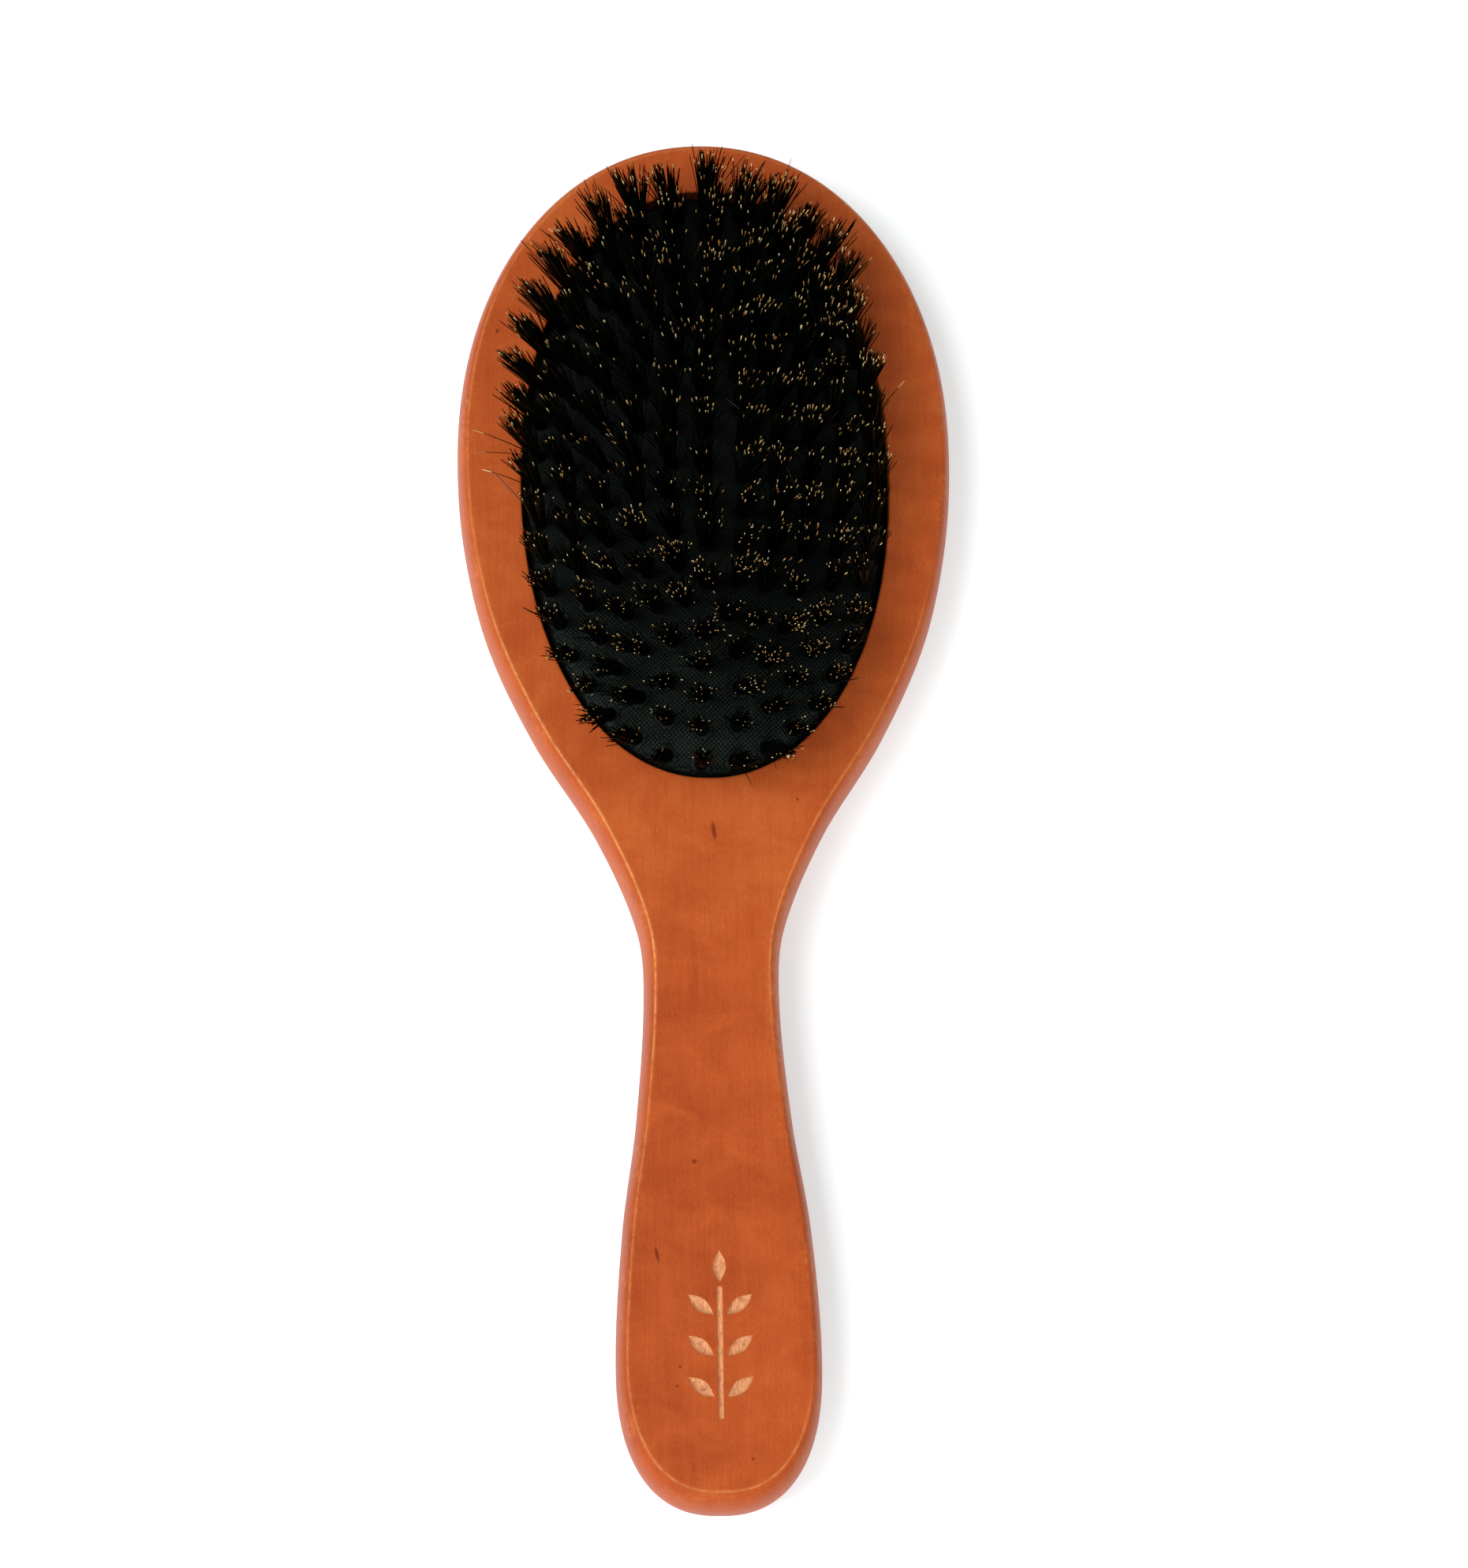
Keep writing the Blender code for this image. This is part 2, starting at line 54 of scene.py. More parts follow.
# Wooden body
BODY_THICKNESS = 14.0 * MM
WIDEST_LEVEL = 7.0 * MM
HEAD_CENTRE_Y = 57.0 * MM
HEAD_HALF_WIDTH = 39.0 * MM
HEAD_CAP_LENGTH = 51.7 * MM
HEAD_POWER = 2.08
GRIP_CENTRE_Y = -87.4 * MM
GRIP_HALF_WIDTH = 15.6 * MM
GRIP_CAP_LENGTH = 22.6 * MM
GRIP_POWER = 2.4
GRIP_DRIFT = 0.35 * MM
DRIFT_Y = (-30.0 * MM, -80.0 * MM)
STATIONS = (
    (GRIP_CENTRE_Y, GRIP_HALF_WIDTH),
    (-67.0 * MM, 14.35 * MM),
    (-50.0 * MM, 11.9 * MM),
    (-31.0 * MM, 10.45 * MM),
    (-20.0 * MM, 11.4 * MM),
    (-5.0 * MM, 17.7 * MM),
    (10.0 * MM, 27.0 * MM),
    (26.0 * MM, 34.3 * MM),
    (42.0 * MM, 38.0 * MM),
    (HEAD_CENTRE_Y, HEAD_HALF_WIDTH),
)
TOP_EDGE = 1.7 * MM
TOP_EDGE_AT_GRIP_END = 2.8 * MM
BACK_EDGE = 6.0 * MM
BACK_STRIP_WIDTHS = (1.2 * MM, 0.4 * MM)
# Strips of the top face along its edge: inner limit, arris wear with painted highlight, and shoulder
# wear
TOP_STRIPS = ((0.2 * MM, 0.2, 0.7), (0.5 * MM, 0.0, 0.4), (1.5 * MM, 0.0, 0.0))
GRIP_CAP_STEPS = 56
SIDE_STEPS = 150
HEAD_CAP_STEPS = 70
BACK_EDGE_STEPS = 10
TOP_EDGE_STEPS = 14

# Wear and painted highlight along the upper edge of the body
ARRIS_REACH = 0.16 * MM
ARRIS_WORN_AND_HIGHLIGHT_Y = (-50.0 * MM, -25.0 * MM, 18.0 * MM, 42.0 * MM)
ARRIS_WEAR_AND_HIGHLIGHT_OFF_WAIST = 0.45
ARRIS_WEAR_AND_HIGHLIGHT_AT_WAIST = 0.45
ARRIS_WEAR_AND_HIGHLIGHT_AT_END = 0.55
END_WORN_AND_HIGHLIGHT_Y = (-90.0 * MM, -102.0 * MM)
SHOULDER_DEPTH = 1.0 * MM
SHOULDER_REACH = 2.4 * MM

# Recess and cushion
OVAL_CENTRE_Y = 51.2 * MM
OVAL_HALF_WIDTH = 28.9 * MM
OVAL_CORE = 21.5 * MM
OVAL_HALF_LENGTH = 48.4 * MM
OVAL_POWER = 2.1
OVAL_SEGMENTS = 220
RECESS_FLOOR = 6.0 * MM
RECESS_FLOOR_EDGE = 0.5 * MM
RECESS_ARRIS = 0.35 * MM
RECESS_ARRIS_STEPS = 4
GROOVE_BOTTOM = 8.0 * MM
GROOVE_TOP = 10.5 * MM
GROOVE_DEPTH = 2.0 * MM
FIT_GAP = 0.3 * MM
PAD_THICKNESS = 1.3 * MM
PAD_RIM_HEIGHT = 11.4 * MM
PAD_RISE = 7.1 * MM
PAD_CURVE = 2.4
PAD_SHELL_INSET = 0.7 * MM
PAD_HOLE_RADIUS = 1.0 * MM
PAD_HOLE_SIDES = 12
BEAD_ROUNDING = 0.3 * MM
LIP_ROUNDING = 0.12 * MM
PUCKER_DEPTH = 0.08 * MM
PUCKER_REACH = 0.5 * MM
WEAVE_PITCH = 0.5 * MM
WEAVE_ANGLES = (math.radians(42.5), math.radians(-48.0))
WEAVE_RIDGE = 0.06 * MM
WEAVE_VALLEY = 0.05 * MM
WEAVE_KNOT = 0.02 * MM
WEAVE_VALLEY_SPAN = (0.3, 0.7)
WEAVE_TO_RIM = 0.45 * MM
WEAVE_TO_HOLE = 0.13 * MM
KNOT_TO_HOLE = 0.1 * MM
LIP_DROP = 0.02 * MM

# The cushion's "ridge" mark, which runs from 0 in the valleys of the weave to 1 on its threads
RIDGE_AT_KNOT = 0.7
RIDGE_AT_BORDER = 0.72
RIDGE_AT_HOLE = 0.5
RIDGE_AT_RIM = 0.2

# Backing cloth
CLOTH_TOP = 3.8 * MM
CLOTH_THICKNESS = 0.5 * MM
CLOTH_INSET = 1.1 * MM
CLOTH_SEGMENTS = 96
CLOTH_RINGS = 16
CLOTH_INNER_LEVEL = 0.06

# Tufts
RING_COUNTS = (43, 36, 28, 24, 20)
RING_RUNS = (11, 9, 7, 6, 5)
OUTER_RING_LEVEL = 0.905
RING_LEVEL_STEP = 0.178
RING_START = -1.2 * MM
OUTER_RING_LAG = 2.1 * MM
CENTRE_COUNT = 7
CENTRE_RUNS = 2
CENTRE_HALF_LENGTH = 18.4 * MM
CENTRE_ROW_X = -0.3 * MM
TIP_HEIGHT_AT_RIM = 28.8 * MM
TIP_HEIGHT_AT_CENTRE = 33.0 * MM
WIRE_DEPTH = 2.25 * MM
WIRE_RADIUS = 0.3 * MM
PLUG_RADIUS = 1.0 * MM
PLUG_DEPTH = 2.6 * MM
LEAN_LEFT = math.radians(20.0)
LEAN_LEFT_REACH = 26.0 * MM
LEAN_LEFT_POWER = 1.6
LEAN_LEFT_LOW_SHARE = 0.75
LEAN_LEFT_Y = (10.0 * MM, 34.0 * MM)
LEAN_RIGHT = math.radians(7.0)
LEAN_RIGHT_PEAK_X = 9.0 * MM
LEAN_RIGHT_LOW_SHARE = 0.35
LEAN_RIGHT_Y = (25.0 * MM, 60.0 * MM)
LEAN_HEEL = math.radians(14.5)
LEAN_TOE = math.radians(5.5)
TOE_CALM = 0.3
HEEL_Y = (16.0 * MM, 48.0 * MM)
RIM_X = (8.0 * MM, 26.0 * MM)
UPRIGHT_SHARE_LEFT = 0.75
UPRIGHT_LEFT_Y = (8.0 * MM, 20.0 * MM, 40.0 * MM, 66.0 * MM)
UPRIGHT_RIGHT = math.radians(3.5)
UPRIGHT_RIGHT_Y = (14.0 * MM, 26.0 * MM, 66.0 * MM, 84.0 * MM)
BRISTLES_PER_TUFT = 80
BRISTLE_POINTS = 6
BRISTLE_SIDES = 3
BRISTLE_RADIUS = 0.118 * MM
ROOT_SPREAD = 0.85 * MM
TIP_SPREAD = 3.3 * MM
TIP_SPREAD_LOSS = 0.29
TIP_SPREAD_FULL_Y = (50.0 * MM, 85.0 * MM)
TIP_FLATTEN = 0.7
PALE_RIGHT_X = (-16.0 * MM, 20.0 * MM)
PALE_TOE_Y = (75.0 * MM, 90.0 * MM)
PALE_WAIST_Y = (8.0 * MM, 18.0 * MM, 36.0 * MM, 50.0 * MM)
BROWN_AND_HIGHLIGHT_Y = (0.0, 40.0 * MM)
LOOSE_SHARE = 0.11
LOOSE_SPREAD = 1.55
LEAN_JITTER = math.radians(2.0)
LENGTH_JITTER = 0.06
SIDEWAYS_JITTER = 0.2 * MM
BEARING_JITTER = 0.35
TUFT_SPREAD = (0.85, 1.1)
HAIR_SPREAD = (0.6, 1.12)
HAIR_THICKNESS = (0.85, 1.15)
TIP_LENGTH = (0.45, 1.35)
TIP_COLOUR_SHARES = (0.42, 0.33, 0.25)
BEND_SHARE = 0.42
STRAY_RADIUS = 0.1 * MM
STRAY_BEND = 2.0 * MM
STRAY_TIP_SHARE = 0.16

# Leaf sprig engraved in the handle
SPRIG_CENTRE_Y = -85.7 * MM
SPRIG_LEAF_PITCH = 6.2 * MM
SPRIG_LEAF_PAIRS = 3
LEAF_LENGTH = 5.0 * MM
LEAF_HALF_WIDTH = 1.0 * MM
LEAF_ANGLE = math.radians(38.0)
LEAF_STEPS = 12
STEM_HALF_WIDTH = 0.45 * MM
STEM_TO_LEAF = 0.5 * MM
STEM_OVERHANG = 1.5 * MM
STEM_SIDES = 16
LEAF_START_SHARE = 0.3
ENGRAVING_DEPTH = 0.4 * MM


# Camera, first so that every piece is judged through it

CAMERA_TILT = math.radians(15.0)
CAMERA_ROLL = math.radians(2.5)
CAMERA_TURN = math.radians(-0.908)
CAMERA_DISTANCE = 0.750
CAMERA_TARGET = Vector((3.913, 2.767, 10.0)) * MM
CAMERA_LENS = 110.83


def add_camera():
    back = Vector((
        -math.sin(CAMERA_ROLL),
        -math.sin(CAMERA_TILT) * math.cos(CAMERA_ROLL),
        math.cos(CAMERA_TILT) * math.cos(CAMERA_ROLL),
    ))
    up = Vector((0.0, 1.0, 0.0))
    up = (up - back * up.dot(back)).normalized()
    right = up.cross(back)
    c, s = math.cos(CAMERA_TURN), math.sin(CAMERA_TURN)
    right, up = c * right + s * up, c * up - s * right
    data = bpy.data.cameras.new("camera")
    data.lens = CAMERA_LENS
    data.clip_start = 0.01
    data.clip_end = 20.0
    camera = bpy.data.objects.new("camera", data)
    stand = Matrix((right, up, back)).transposed().to_4x4()
    stand.translation = CAMERA_TARGET + back * CAMERA_DISTANCE
    camera.matrix_world = stand
    bpy.context.scene.collection.objects.link(camera)
    bpy.context.scene.camera = camera


add_camera()


# Shader helpers


def new_material(name):
    material = bpy.data.materials.new(name)
    material.use_nodes = True
    tree = material.node_tree
    return material, tree, tree.nodes["Principled BSDF"]


def feed(tree, value, socket):
    """Link a socket, or set a colour or a plain number."""
    if isinstance(value, bpy.types.NodeSocket):
        tree.links.new(value, socket)
    elif isinstance(value, tuple):
        socket.default_value = (*value, 1.0)
    else:
        socket.default_value = value


def object_coords(tree, scale):
    coords = tree.nodes.new("ShaderNodeTexCoord").outputs["Object"]
    mapping = tree.nodes.new("ShaderNodeMapping")
    mapping.inputs["Scale"].default_value = scale
    tree.links.new(coords, mapping.inputs["Vector"])
    return mapping.outputs["Vector"]


def object_axes(tree):
    coords = tree.nodes.new("ShaderNodeTexCoord").outputs["Object"]
    node = tree.nodes.new("ShaderNodeSeparateXYZ")
    tree.links.new(coords, node.inputs[0])
    return node.outputs


def noise(tree, scale, detail, roughness=0.5, distortion=0.0, stretch=(1.0, 1.0, 1.0)):
    node = tree.nodes.new("ShaderNodeTexNoise")
    tree.links.new(object_coords(tree, stretch), node.inputs["Vector"])
    node.inputs["Scale"].default_value = scale
    node.inputs["Detail"].default_value = detail
    node.inputs["Roughness"].default_value = roughness
    node.inputs["Distortion"].default_value = distortion
    return node.outputs["Fac"]


def span(tree, value, low, high, to_low=0.0, to_high=1.0, smooth=False):
    node = tree.nodes.new("ShaderNodeMapRange")
    node.interpolation_type = "SMOOTHSTEP" if smooth else "LINEAR"
    feed(tree, value, node.inputs["Value"])
    node.inputs["From Min"].default_value = low
    node.inputs["From Max"].default_value = high
    node.inputs["To Min"].default_value = to_low
    node.inputs["To Max"].default_value = to_high
    return node.outputs["Result"]


def calc(tree, operation, a, b=0.0):
    node = tree.nodes.new("ShaderNodeMath")
    node.operation = operation
    feed(tree, a, node.inputs[0])
    feed(tree, b, node.inputs[1])
    return node.outputs["Value"]


def product(tree, a, b):
    return calc(tree, "MULTIPLY", a, b)


def blend_colour(tree, factor, a, b):
    node = tree.nodes.new("ShaderNodeMix")
    node.data_type = "RGBA"
    feed(tree, factor, node.inputs[0])
    feed(tree, a, node.inputs[6])
    feed(tree, b, node.inputs[7])
    return node.outputs[2]


def ramp(tree, value, stops):
    node = tree.nodes.new("ShaderNodeValToRGB")
    feed(tree, value, node.inputs["Fac"])
    elements = node.color_ramp.elements
    while len(elements) < len(stops):
        elements.new(0.5)
    for element, (place, colour) in zip(elements, stops):
        element.position = place
        element.color = (*colour, 1.0)
    return node.outputs["Color"]


def attribute(tree, name):
    node = tree.nodes.new("ShaderNodeAttribute")
    node.attribute_name = name
    return node.outputs["Fac"]


def paint(tree, shader, colour, roughness, specular=0.5):
    feed(tree, colour, shader.inputs["Base Color"])
    feed(tree, roughness, shader.inputs["Roughness"])
    shader.inputs["Specular IOR Level"].default_value = specular


def add_bump(tree, shader, height, distance):
    node = tree.nodes.new("ShaderNodeBump")
    node.inputs["Distance"].default_value = distance
    tree.links.new(height, node.inputs["Height"])
    tree.links.new(node.outputs["Normal"], shader.inputs["Normal"])


# Materials

WOOD_DARK = (0.305, 0.0435, 0.0085)
WOOD_MID = (0.44, 0.080, 0.0155)
WOOD_LIGHT = (0.55, 0.129, 0.0270)
WOOD_WORN_AND_HIGHLIGHT = (0.92, 0.40, 0.13)
# Worn stain and painted highlight on the arris, strongest on the lit left side and round the grip's
# end
WOOD_FLECK = (0.13, 0.014, 0.004)
FLECK_STRENGTH = 0.75
LONG_GRAIN = (1.0, 0.045, 0.35)

# Dark marks in the wood, in mm and degrees: x, y, half-width, half-length and turn
WOOD_MARKS = (
    (0.5, -5.7, 0.45, 1.9, 8.0),
    (-3.2, -57.4, 0.45, 0.5, 0.0),
    (-9.0, -71.5, 0.35, 1.5, 12.0),
    (-5.7, -88.5, 0.28, 0.3, 0.0),
    (-6.2, -91.4, 0.28, 0.3, 0.0),
    (5.0, -102.4, 0.28, 0.3, 0.0),
    (-32.6, 76.0, 0.35, 0.5, 0.0),
    (13.5, -0.8, 0.25, 0.3, 0.0),
)

# Colour stops from the valleys of the weave to its ridges: painted shade in the valleys and a painted
# highlight on the threads
# Lit copy of the rubber, for the lower part of the cushion: painted light
RUBBER_PAINTED_LIT = (
    (0.0, (0.0006, 0.0010, 0.0008)),
    (0.5, (0.0026, 0.0042, 0.0031)),
    (0.85, (0.026, 0.040, 0.031)),
    (1.0, (0.075, 0.105, 0.082)),
)
# Shaded copy of the rubber, for the cushion under the tufts: painted shade
RUBBER_PAINTED_SHADE = (
    (0.0, (0.0005, 0.0008, 0.0006)),
    (0.5, (0.0014, 0.0024, 0.0017)),
    (0.85, (0.008, 0.013, 0.010)),
    (1.0, (0.022, 0.033, 0.025)),
)
RUBBER_FILM = (0.020, 0.029, 0.023)
PAINTED_LIGHT_FADES_Y = (16.0 * MM, 38.0 * MM)

RAW_WOOD = ((0.3, (0.42, 0.13, 0.045)), (0.55, (0.66, 0.28, 0.115)), (0.75, (0.78, 0.40, 0.19)))
SINGED_WOOD = (0.26, 0.07, 0.022)
CLOTH_TONES = ((0.1, (0.03, 0.027, 0.023)), (0.9, (0.13, 0.115, 0.095)))
WIRE_COLOUR = (0.42, 0.40, 0.37)


def fleck(tree, x, y, half_width, half_length, turn):
    """Soft mark that runs through the wood, 1 in its middle."""
    c, s = math.cos(turn), math.sin(turn)
    axes = object_axes(tree)
    dx = calc(tree, "SUBTRACT", axes[0], x)
    dy = calc(tree, "SUBTRACT", axes[1], y)
    across = calc(tree, "ADD", product(tree, dx, c / half_width), product(tree, dy, s / half_width))
    along = calc(tree, "ADD", product(tree, dx, -s / half_length), product(tree, dy, c / half_length))
    reach = calc(tree, "ADD", product(tree, across, across), product(tree, along, along))
    return span(tree, reach, 0.1, 1.0, 1.0, 0.0, smooth=True)


def all_flecks(tree):
    flecks = 0.0
    for x, y, half_width, half_length, turn in WOOD_MARKS:
        spot = fleck(tree, x * MM, y * MM, half_width * MM, half_length * MM, math.radians(turn))
        flecks = calc(tree, "MAXIMUM", spot, flecks)
    return product(tree, flecks, FLECK_STRENGTH)


def lengthways_tone(tree):
    """The wood is lightest at the neck, darker along the grip and a little darker towards the toe."""
    y = object_axes(tree)[1]
    gain = span(tree, y, -45.0 * MM, -8.0 * MM, 0.39, 0.60, smooth=True)
    loss = span(tree, y, -2.0 * MM, 40.0 * MM, 0.0, 0.07, smooth=True)
    return calc(tree, "SUBTRACT", gain, loss)


def worn_and_highlight_share(tree):
    """Where the stain is worn thin, with a painted highlight: a broken light line on the arris and
    faint worn patches below it.
    """
    patchy = noise(tree, 900.0, 4.0, 0.7)
    where = noise(tree, 75.0, 2.0)
    line = product(tree, attribute(tree, "arris"), span(tree, patchy, 0.36, 0.6, 0.3, 0.8))
    patches = span(tree, where, 0.46, 0.6, 0.0, 0.16)
    patches = product(tree, span(tree, patchy, 0.46, 0.64), patches)
    patches = product(tree, attribute(tree, "shoulder"), patches)
    return calc(tree, "MAXIMUM", line, patches)


def make_wood():
    material, tree, shader = new_material("satin_stained_wood")
    streak = noise(tree, 2600.0, 3.0, 0.6, stretch=LONG_GRAIN)
    band = noise(tree, 420.0, 3.0, 0.55, 0.4, LONG_GRAIN)
    mottle = noise(tree, 170.0, 3.0, 0.55, 0.6, (0.8, 1.0, 1.0))
    cloud = noise(tree, 38.0, 2.0, stretch=(1.0, 0.7, 1.0))
    speck = noise(tree, 3200.0, 2.0, 0.7, stretch=(1.0, 0.5, 1.0))

    tone = lengthways_tone(tree)
    for value, share in ((streak, 0.07), (band, 0.05), (mottle, 0.15), (cloud, 0.12), (speck, 0.10)):
        tone = calc(tree, "ADD", tone, span(tree, value, 0.3, 0.7, -share, share))
    colour = ramp(tree, tone, ((0.0, WOOD_DARK), (0.5, WOOD_MID), (1.0, WOOD_LIGHT)))
    colour = blend_colour(tree, all_flecks(tree), colour, WOOD_FLECK)
    # Worn stain and painted highlight along the arris
    colour = blend_colour(tree, worn_and_highlight_share(tree), colour, WOOD_WORN_AND_HIGHLIGHT)
    grain = calc(tree, "ADD", mottle, product(tree, streak, 0.5))
    paint(tree, shader, colour, span(tree, grain, 0.5, 1.0, 0.38, 0.5), 0.09)
    shader.inputs["Coat Weight"].default_value = 0.03
    shader.inputs["Coat Roughness"].default_value = 0.25
    add_bump(tree, shader, calc(tree, "ADD", streak, product(tree, speck, 0.6)), 0.02 * MM)
    return material


def make_raw_wood():
    material, tree, shader = new_material("engraved_raw_wood")
    fibre = noise(tree, 3600.0, 3.0, 0.65, stretch=(1.0, 0.25, 1.0))
    char = noise(tree, 1300.0, 3.0, 0.6)
    colour = ramp(tree, fibre, RAW_WOOD)
    colour = blend_colour(tree, span(tree, char, 0.56, 0.72, 0.0, 0.7), colour, SINGED_WOOD)
    paint(tree, shader, colour, span(tree, fibre, 0.3, 0.7, 0.6, 0.85))
    add_bump(tree, shader, fibre, 0.05 * MM)
    return material


def make_rubber():
    material, tree, shader = new_material("woven_black_rubber")
    grime = noise(tree, 160.0, 3.0, 0.6)
    fine = noise(tree, 5200.0, 2.0, 0.6)
    # The threads are painted lighter and the valleys darker: painted highlight and painted shade
    height = product(tree, attribute(tree, "ridge"), span(tree, fine, 0.3, 0.7, 0.7, 1.15))
    # Painted light on the lower part of the cushion, fading to painted shade under the tufts towards
    # the toe
    painted_light = span(tree, object_axes(tree)[1], *PAINTED_LIGHT_FADES_Y, 1.0, 0.0, smooth=True)
    shaded_weave, lit_weave = ramp(tree, height, RUBBER_PAINTED_SHADE), ramp(tree, height, RUBBER_PAINTED_LIT)
    colour = blend_colour(tree, painted_light, shaded_weave, lit_weave)
    # Grime film, laid only where the cushion is painted lit
    grime_film_where_lit = product(tree, span(tree, grime, 0.4, 0.7, 0.0, 0.12), painted_light)
    colour = blend_colour(tree, grime_film_where_lit, colour, RUBBER_FILM)
    paint(tree, shader, colour, span(tree, grime, 0.3, 0.7, 0.46, 0.62), 0.07)
    add_bump(tree, shader, fine, 0.012 * MM)
    return material


def make_cloth():
    material, tree, shader = new_material("plain_woven_cloth")
    coords = object_coords(tree, (1.0, 1.0, 1.0))
    height = 0.0
    for direction in ("X", "Y"):
        wave = tree.nodes.new("ShaderNodeTexWave")
        wave.bands_direction = direction
        wave.inputs["Scale"].default_value = 520.0
        wave.inputs["Distortion"].default_value = 0.4
        tree.links.new(coords, wave.inputs["Vector"])
        height = calc(tree, "ADD", wave.outputs["Fac"], height)
    wool = noise(tree, 900.0, 3.0)
    tone = product(tree, height, 0.35)
    tone = calc(tree, "ADD", tone, product(tree, wool, 0.3))
    paint(tree, shader, ramp(tree, tone, CLOTH_TONES), span(tree, wool, 0.3, 0.7, 0.8, 0.95))
    add_bump(tree, shader, height, 0.08 * MM)
    return material


# Material slots of a run of tufts, then name, colour, lowest and highest roughness of each hair
BRISTLE_SPECULAR = 0.05
(BRISTLE_BLACK, BRISTLE_BROWN, BRISTLE_GREY, BRISTLE_UMBER,
 TIP_GOLD, TIP_PALE, TIP_RUST, WIRE) = range(8)
BRISTLE_COLOURS = (
    ("bristle_black", (0.0011, 0.0027, 0.0012), 0.30, 0.55),
    ("bristle_brown", (0.0150, 0.0115, 0.0045), 0.35, 0.55),
    ("bristle_grey", (0.055, 0.062, 0.052), 0.5, 0.5),
    ("bristle_umber", (0.085, 0.045, 0.014), 0.5, 0.5),
    ("bristle_tip_gold", (0.62, 0.37, 0.115), 0.55, 0.55),
    ("bristle_tip_pale", (0.90, 0.69, 0.36), 0.55, 0.55),
    ("bristle_tip_rust", (0.44, 0.20, 0.065), 0.55, 0.55),
)


def make_bristle(name, colour, low, high):
    """One colour of hair; where low and high differ, its roughness varies along the hair."""
    material, tree, shader = new_material(name)
    roughness = low
    if low < high:
        streak = noise(tree, 2400.0, 1.0, stretch=(1.0, 1.0, 0.2))
        roughness = span(tree, streak, 0.3, 0.7, low, high)
    paint(tree, shader, colour, roughness, BRISTLE_SPECULAR)
    return material


def make_wire():
    material, tree, shader = new_material("drawn_steel_wire")
    scratch = noise(tree, 3000.0, 2.0)
    paint(tree, shader, WIRE_COLOUR, span(tree, scratch, 0.3, 0.7, 0.3, 0.5))
    shader.inputs["Metallic"].default_value = 1.0
    return material


# Mesh helpers


class Shape:
    """Points, faces and marks of a closed mesh, collected loop by loop."""

    def __init__(self):
        self.points, self.faces, self.slots = [], [], []
        self.marks = {}

    def add(self, points, **marks):
        start = len(self.points)
        self.points.extend(tuple(float(v) for v in point) for point in points)
        names = list(range(start, len(self.points)))
        for mark, values in marks.items():
            values = np.broadcast_to(values, len(names)).tolist()
            self.marks.setdefault(mark, {}).update(zip(names, values))
        return names

    def face(self, corners, slot=0):
        self.faces.append(tuple(corners))
        self.slots.append(slot)

    def bridge(self, low, high, slot=0):
        for (a, b), (c, d) in zip(loop_edges(low), loop_edges(high)):
            self.face((a, b, d, c), slot)

    def stack(self, loops, slot=0):
        for low, high in zip(loops, loops[1:]):
            self.bridge(low, high, slot)

    def flat(self, names):
        """Points seen from above, in mm, as the triangulation wants them."""
        return [Vector(self.points[name][:2]) / MM for name in names]

    def fill(self, outer, holes):
        """Cover the region inside the outer loop and outside the holes with triangles.

        A triangle with all its corners on one hole lies in that hole and is left out."""
        names = list(outer)
        edges = loop_edges(range(len(outer)))
        hole_of = {}
        for number, hole in enumerate(holes):
            places = range(len(names), len(names) + len(hole))
            edges += loop_edges(places)
            hole_of.update(dict.fromkeys(places, number))
            names += hole
        inside_edges = 1
        _, _, faces, origins, _, _ = delaunay_2d_cdt(
            self.flat(names), edges, [], inside_edges, 1e-5)
        for face in faces:
            corners = [origins[k][0] for k in face]
            touched = {hole_of.get(k) for k in corners}
            if len(touched) > 1 or None in touched:
                self.face([names[k] for k in corners])

    def make(self, name, materials, sharp=35.0):
        mesh = bpy.data.meshes.new(name)
        mesh.from_pydata(self.points, [], self.faces)
        mesh.polygons.foreach_set("material_index", self.slots)
        for mark, column in self.marks.items():
            values = np.zeros(len(self.points), np.float32)
            values[list(column)] = list(column.values())
            mesh.attributes.new(mark, "FLOAT", "POINT").data.foreach_set("value", values)
        bm = bmesh.new()
        bm.from_mesh(mesh)
        bmesh.ops.recalc_face_normals(bm, faces=bm.faces)
        bm.to_mesh(mesh)
        bm.free()
        return link_mesh(name, mesh, materials, sharp)


def link_mesh(name, mesh, materials, sharp):
    for material in materials:
        mesh.materials.append(material)
    mesh.shade_smooth()
    mesh.set_sharp_from_angle(angle=math.radians(sharp))
    made = bpy.data.objects.new(name, mesh)
    bpy.context.scene.collection.objects.link(made)
    return made


def loop_edges(loop):
    return list(zip(loop, [*loop[1:], loop[0]]))


def rise(value, limits):
    """Smooth rise from 0 at the first limit to 1 at the second."""
    share = np.clip((value - limits[0]) / (limits[1] - limits[0]), 0.0, 1.0)
    return share * share * (3.0 - 2.0 * share)


def superellipse(angle, half_x, half_y, power):
    c, s = np.cos(angle), np.sin(angle)
    x = half_x * np.sign(c) * np.abs(c) ** (2.0 / power)
    y = half_y * np.sign(s) * np.abs(s) ** (2.0 / power)
    return x, y


# Wooden body


def half_width(y):
    """Half-width between the two end caps, a cubic through the stations."""
    slopes = [0.0]
    for before, after in zip(STATIONS, STATIONS[2:]):
        slopes.append((after[1] - before[1]) / (after[0] - before[0]))
    slopes.append(0.0)
    i = max(k for k in range(len(STATIONS) - 1) if STATIONS[k][0] <= y)
    (y0, w0), (y1, w1) = STATIONS[i], STATIONS[i + 1]
    h = y1 - y0
    u = (y - y0) / h
    start = w0 * (1.0 + 2.0 * u) * (1.0 - u) ** 2 + slopes[i] * h * u * (1.0 - u) ** 2
    end = w1 * u * u * (3.0 - 2.0 * u) + slopes[i + 1] * h * u * u * (u - 1.0)
    return start + end


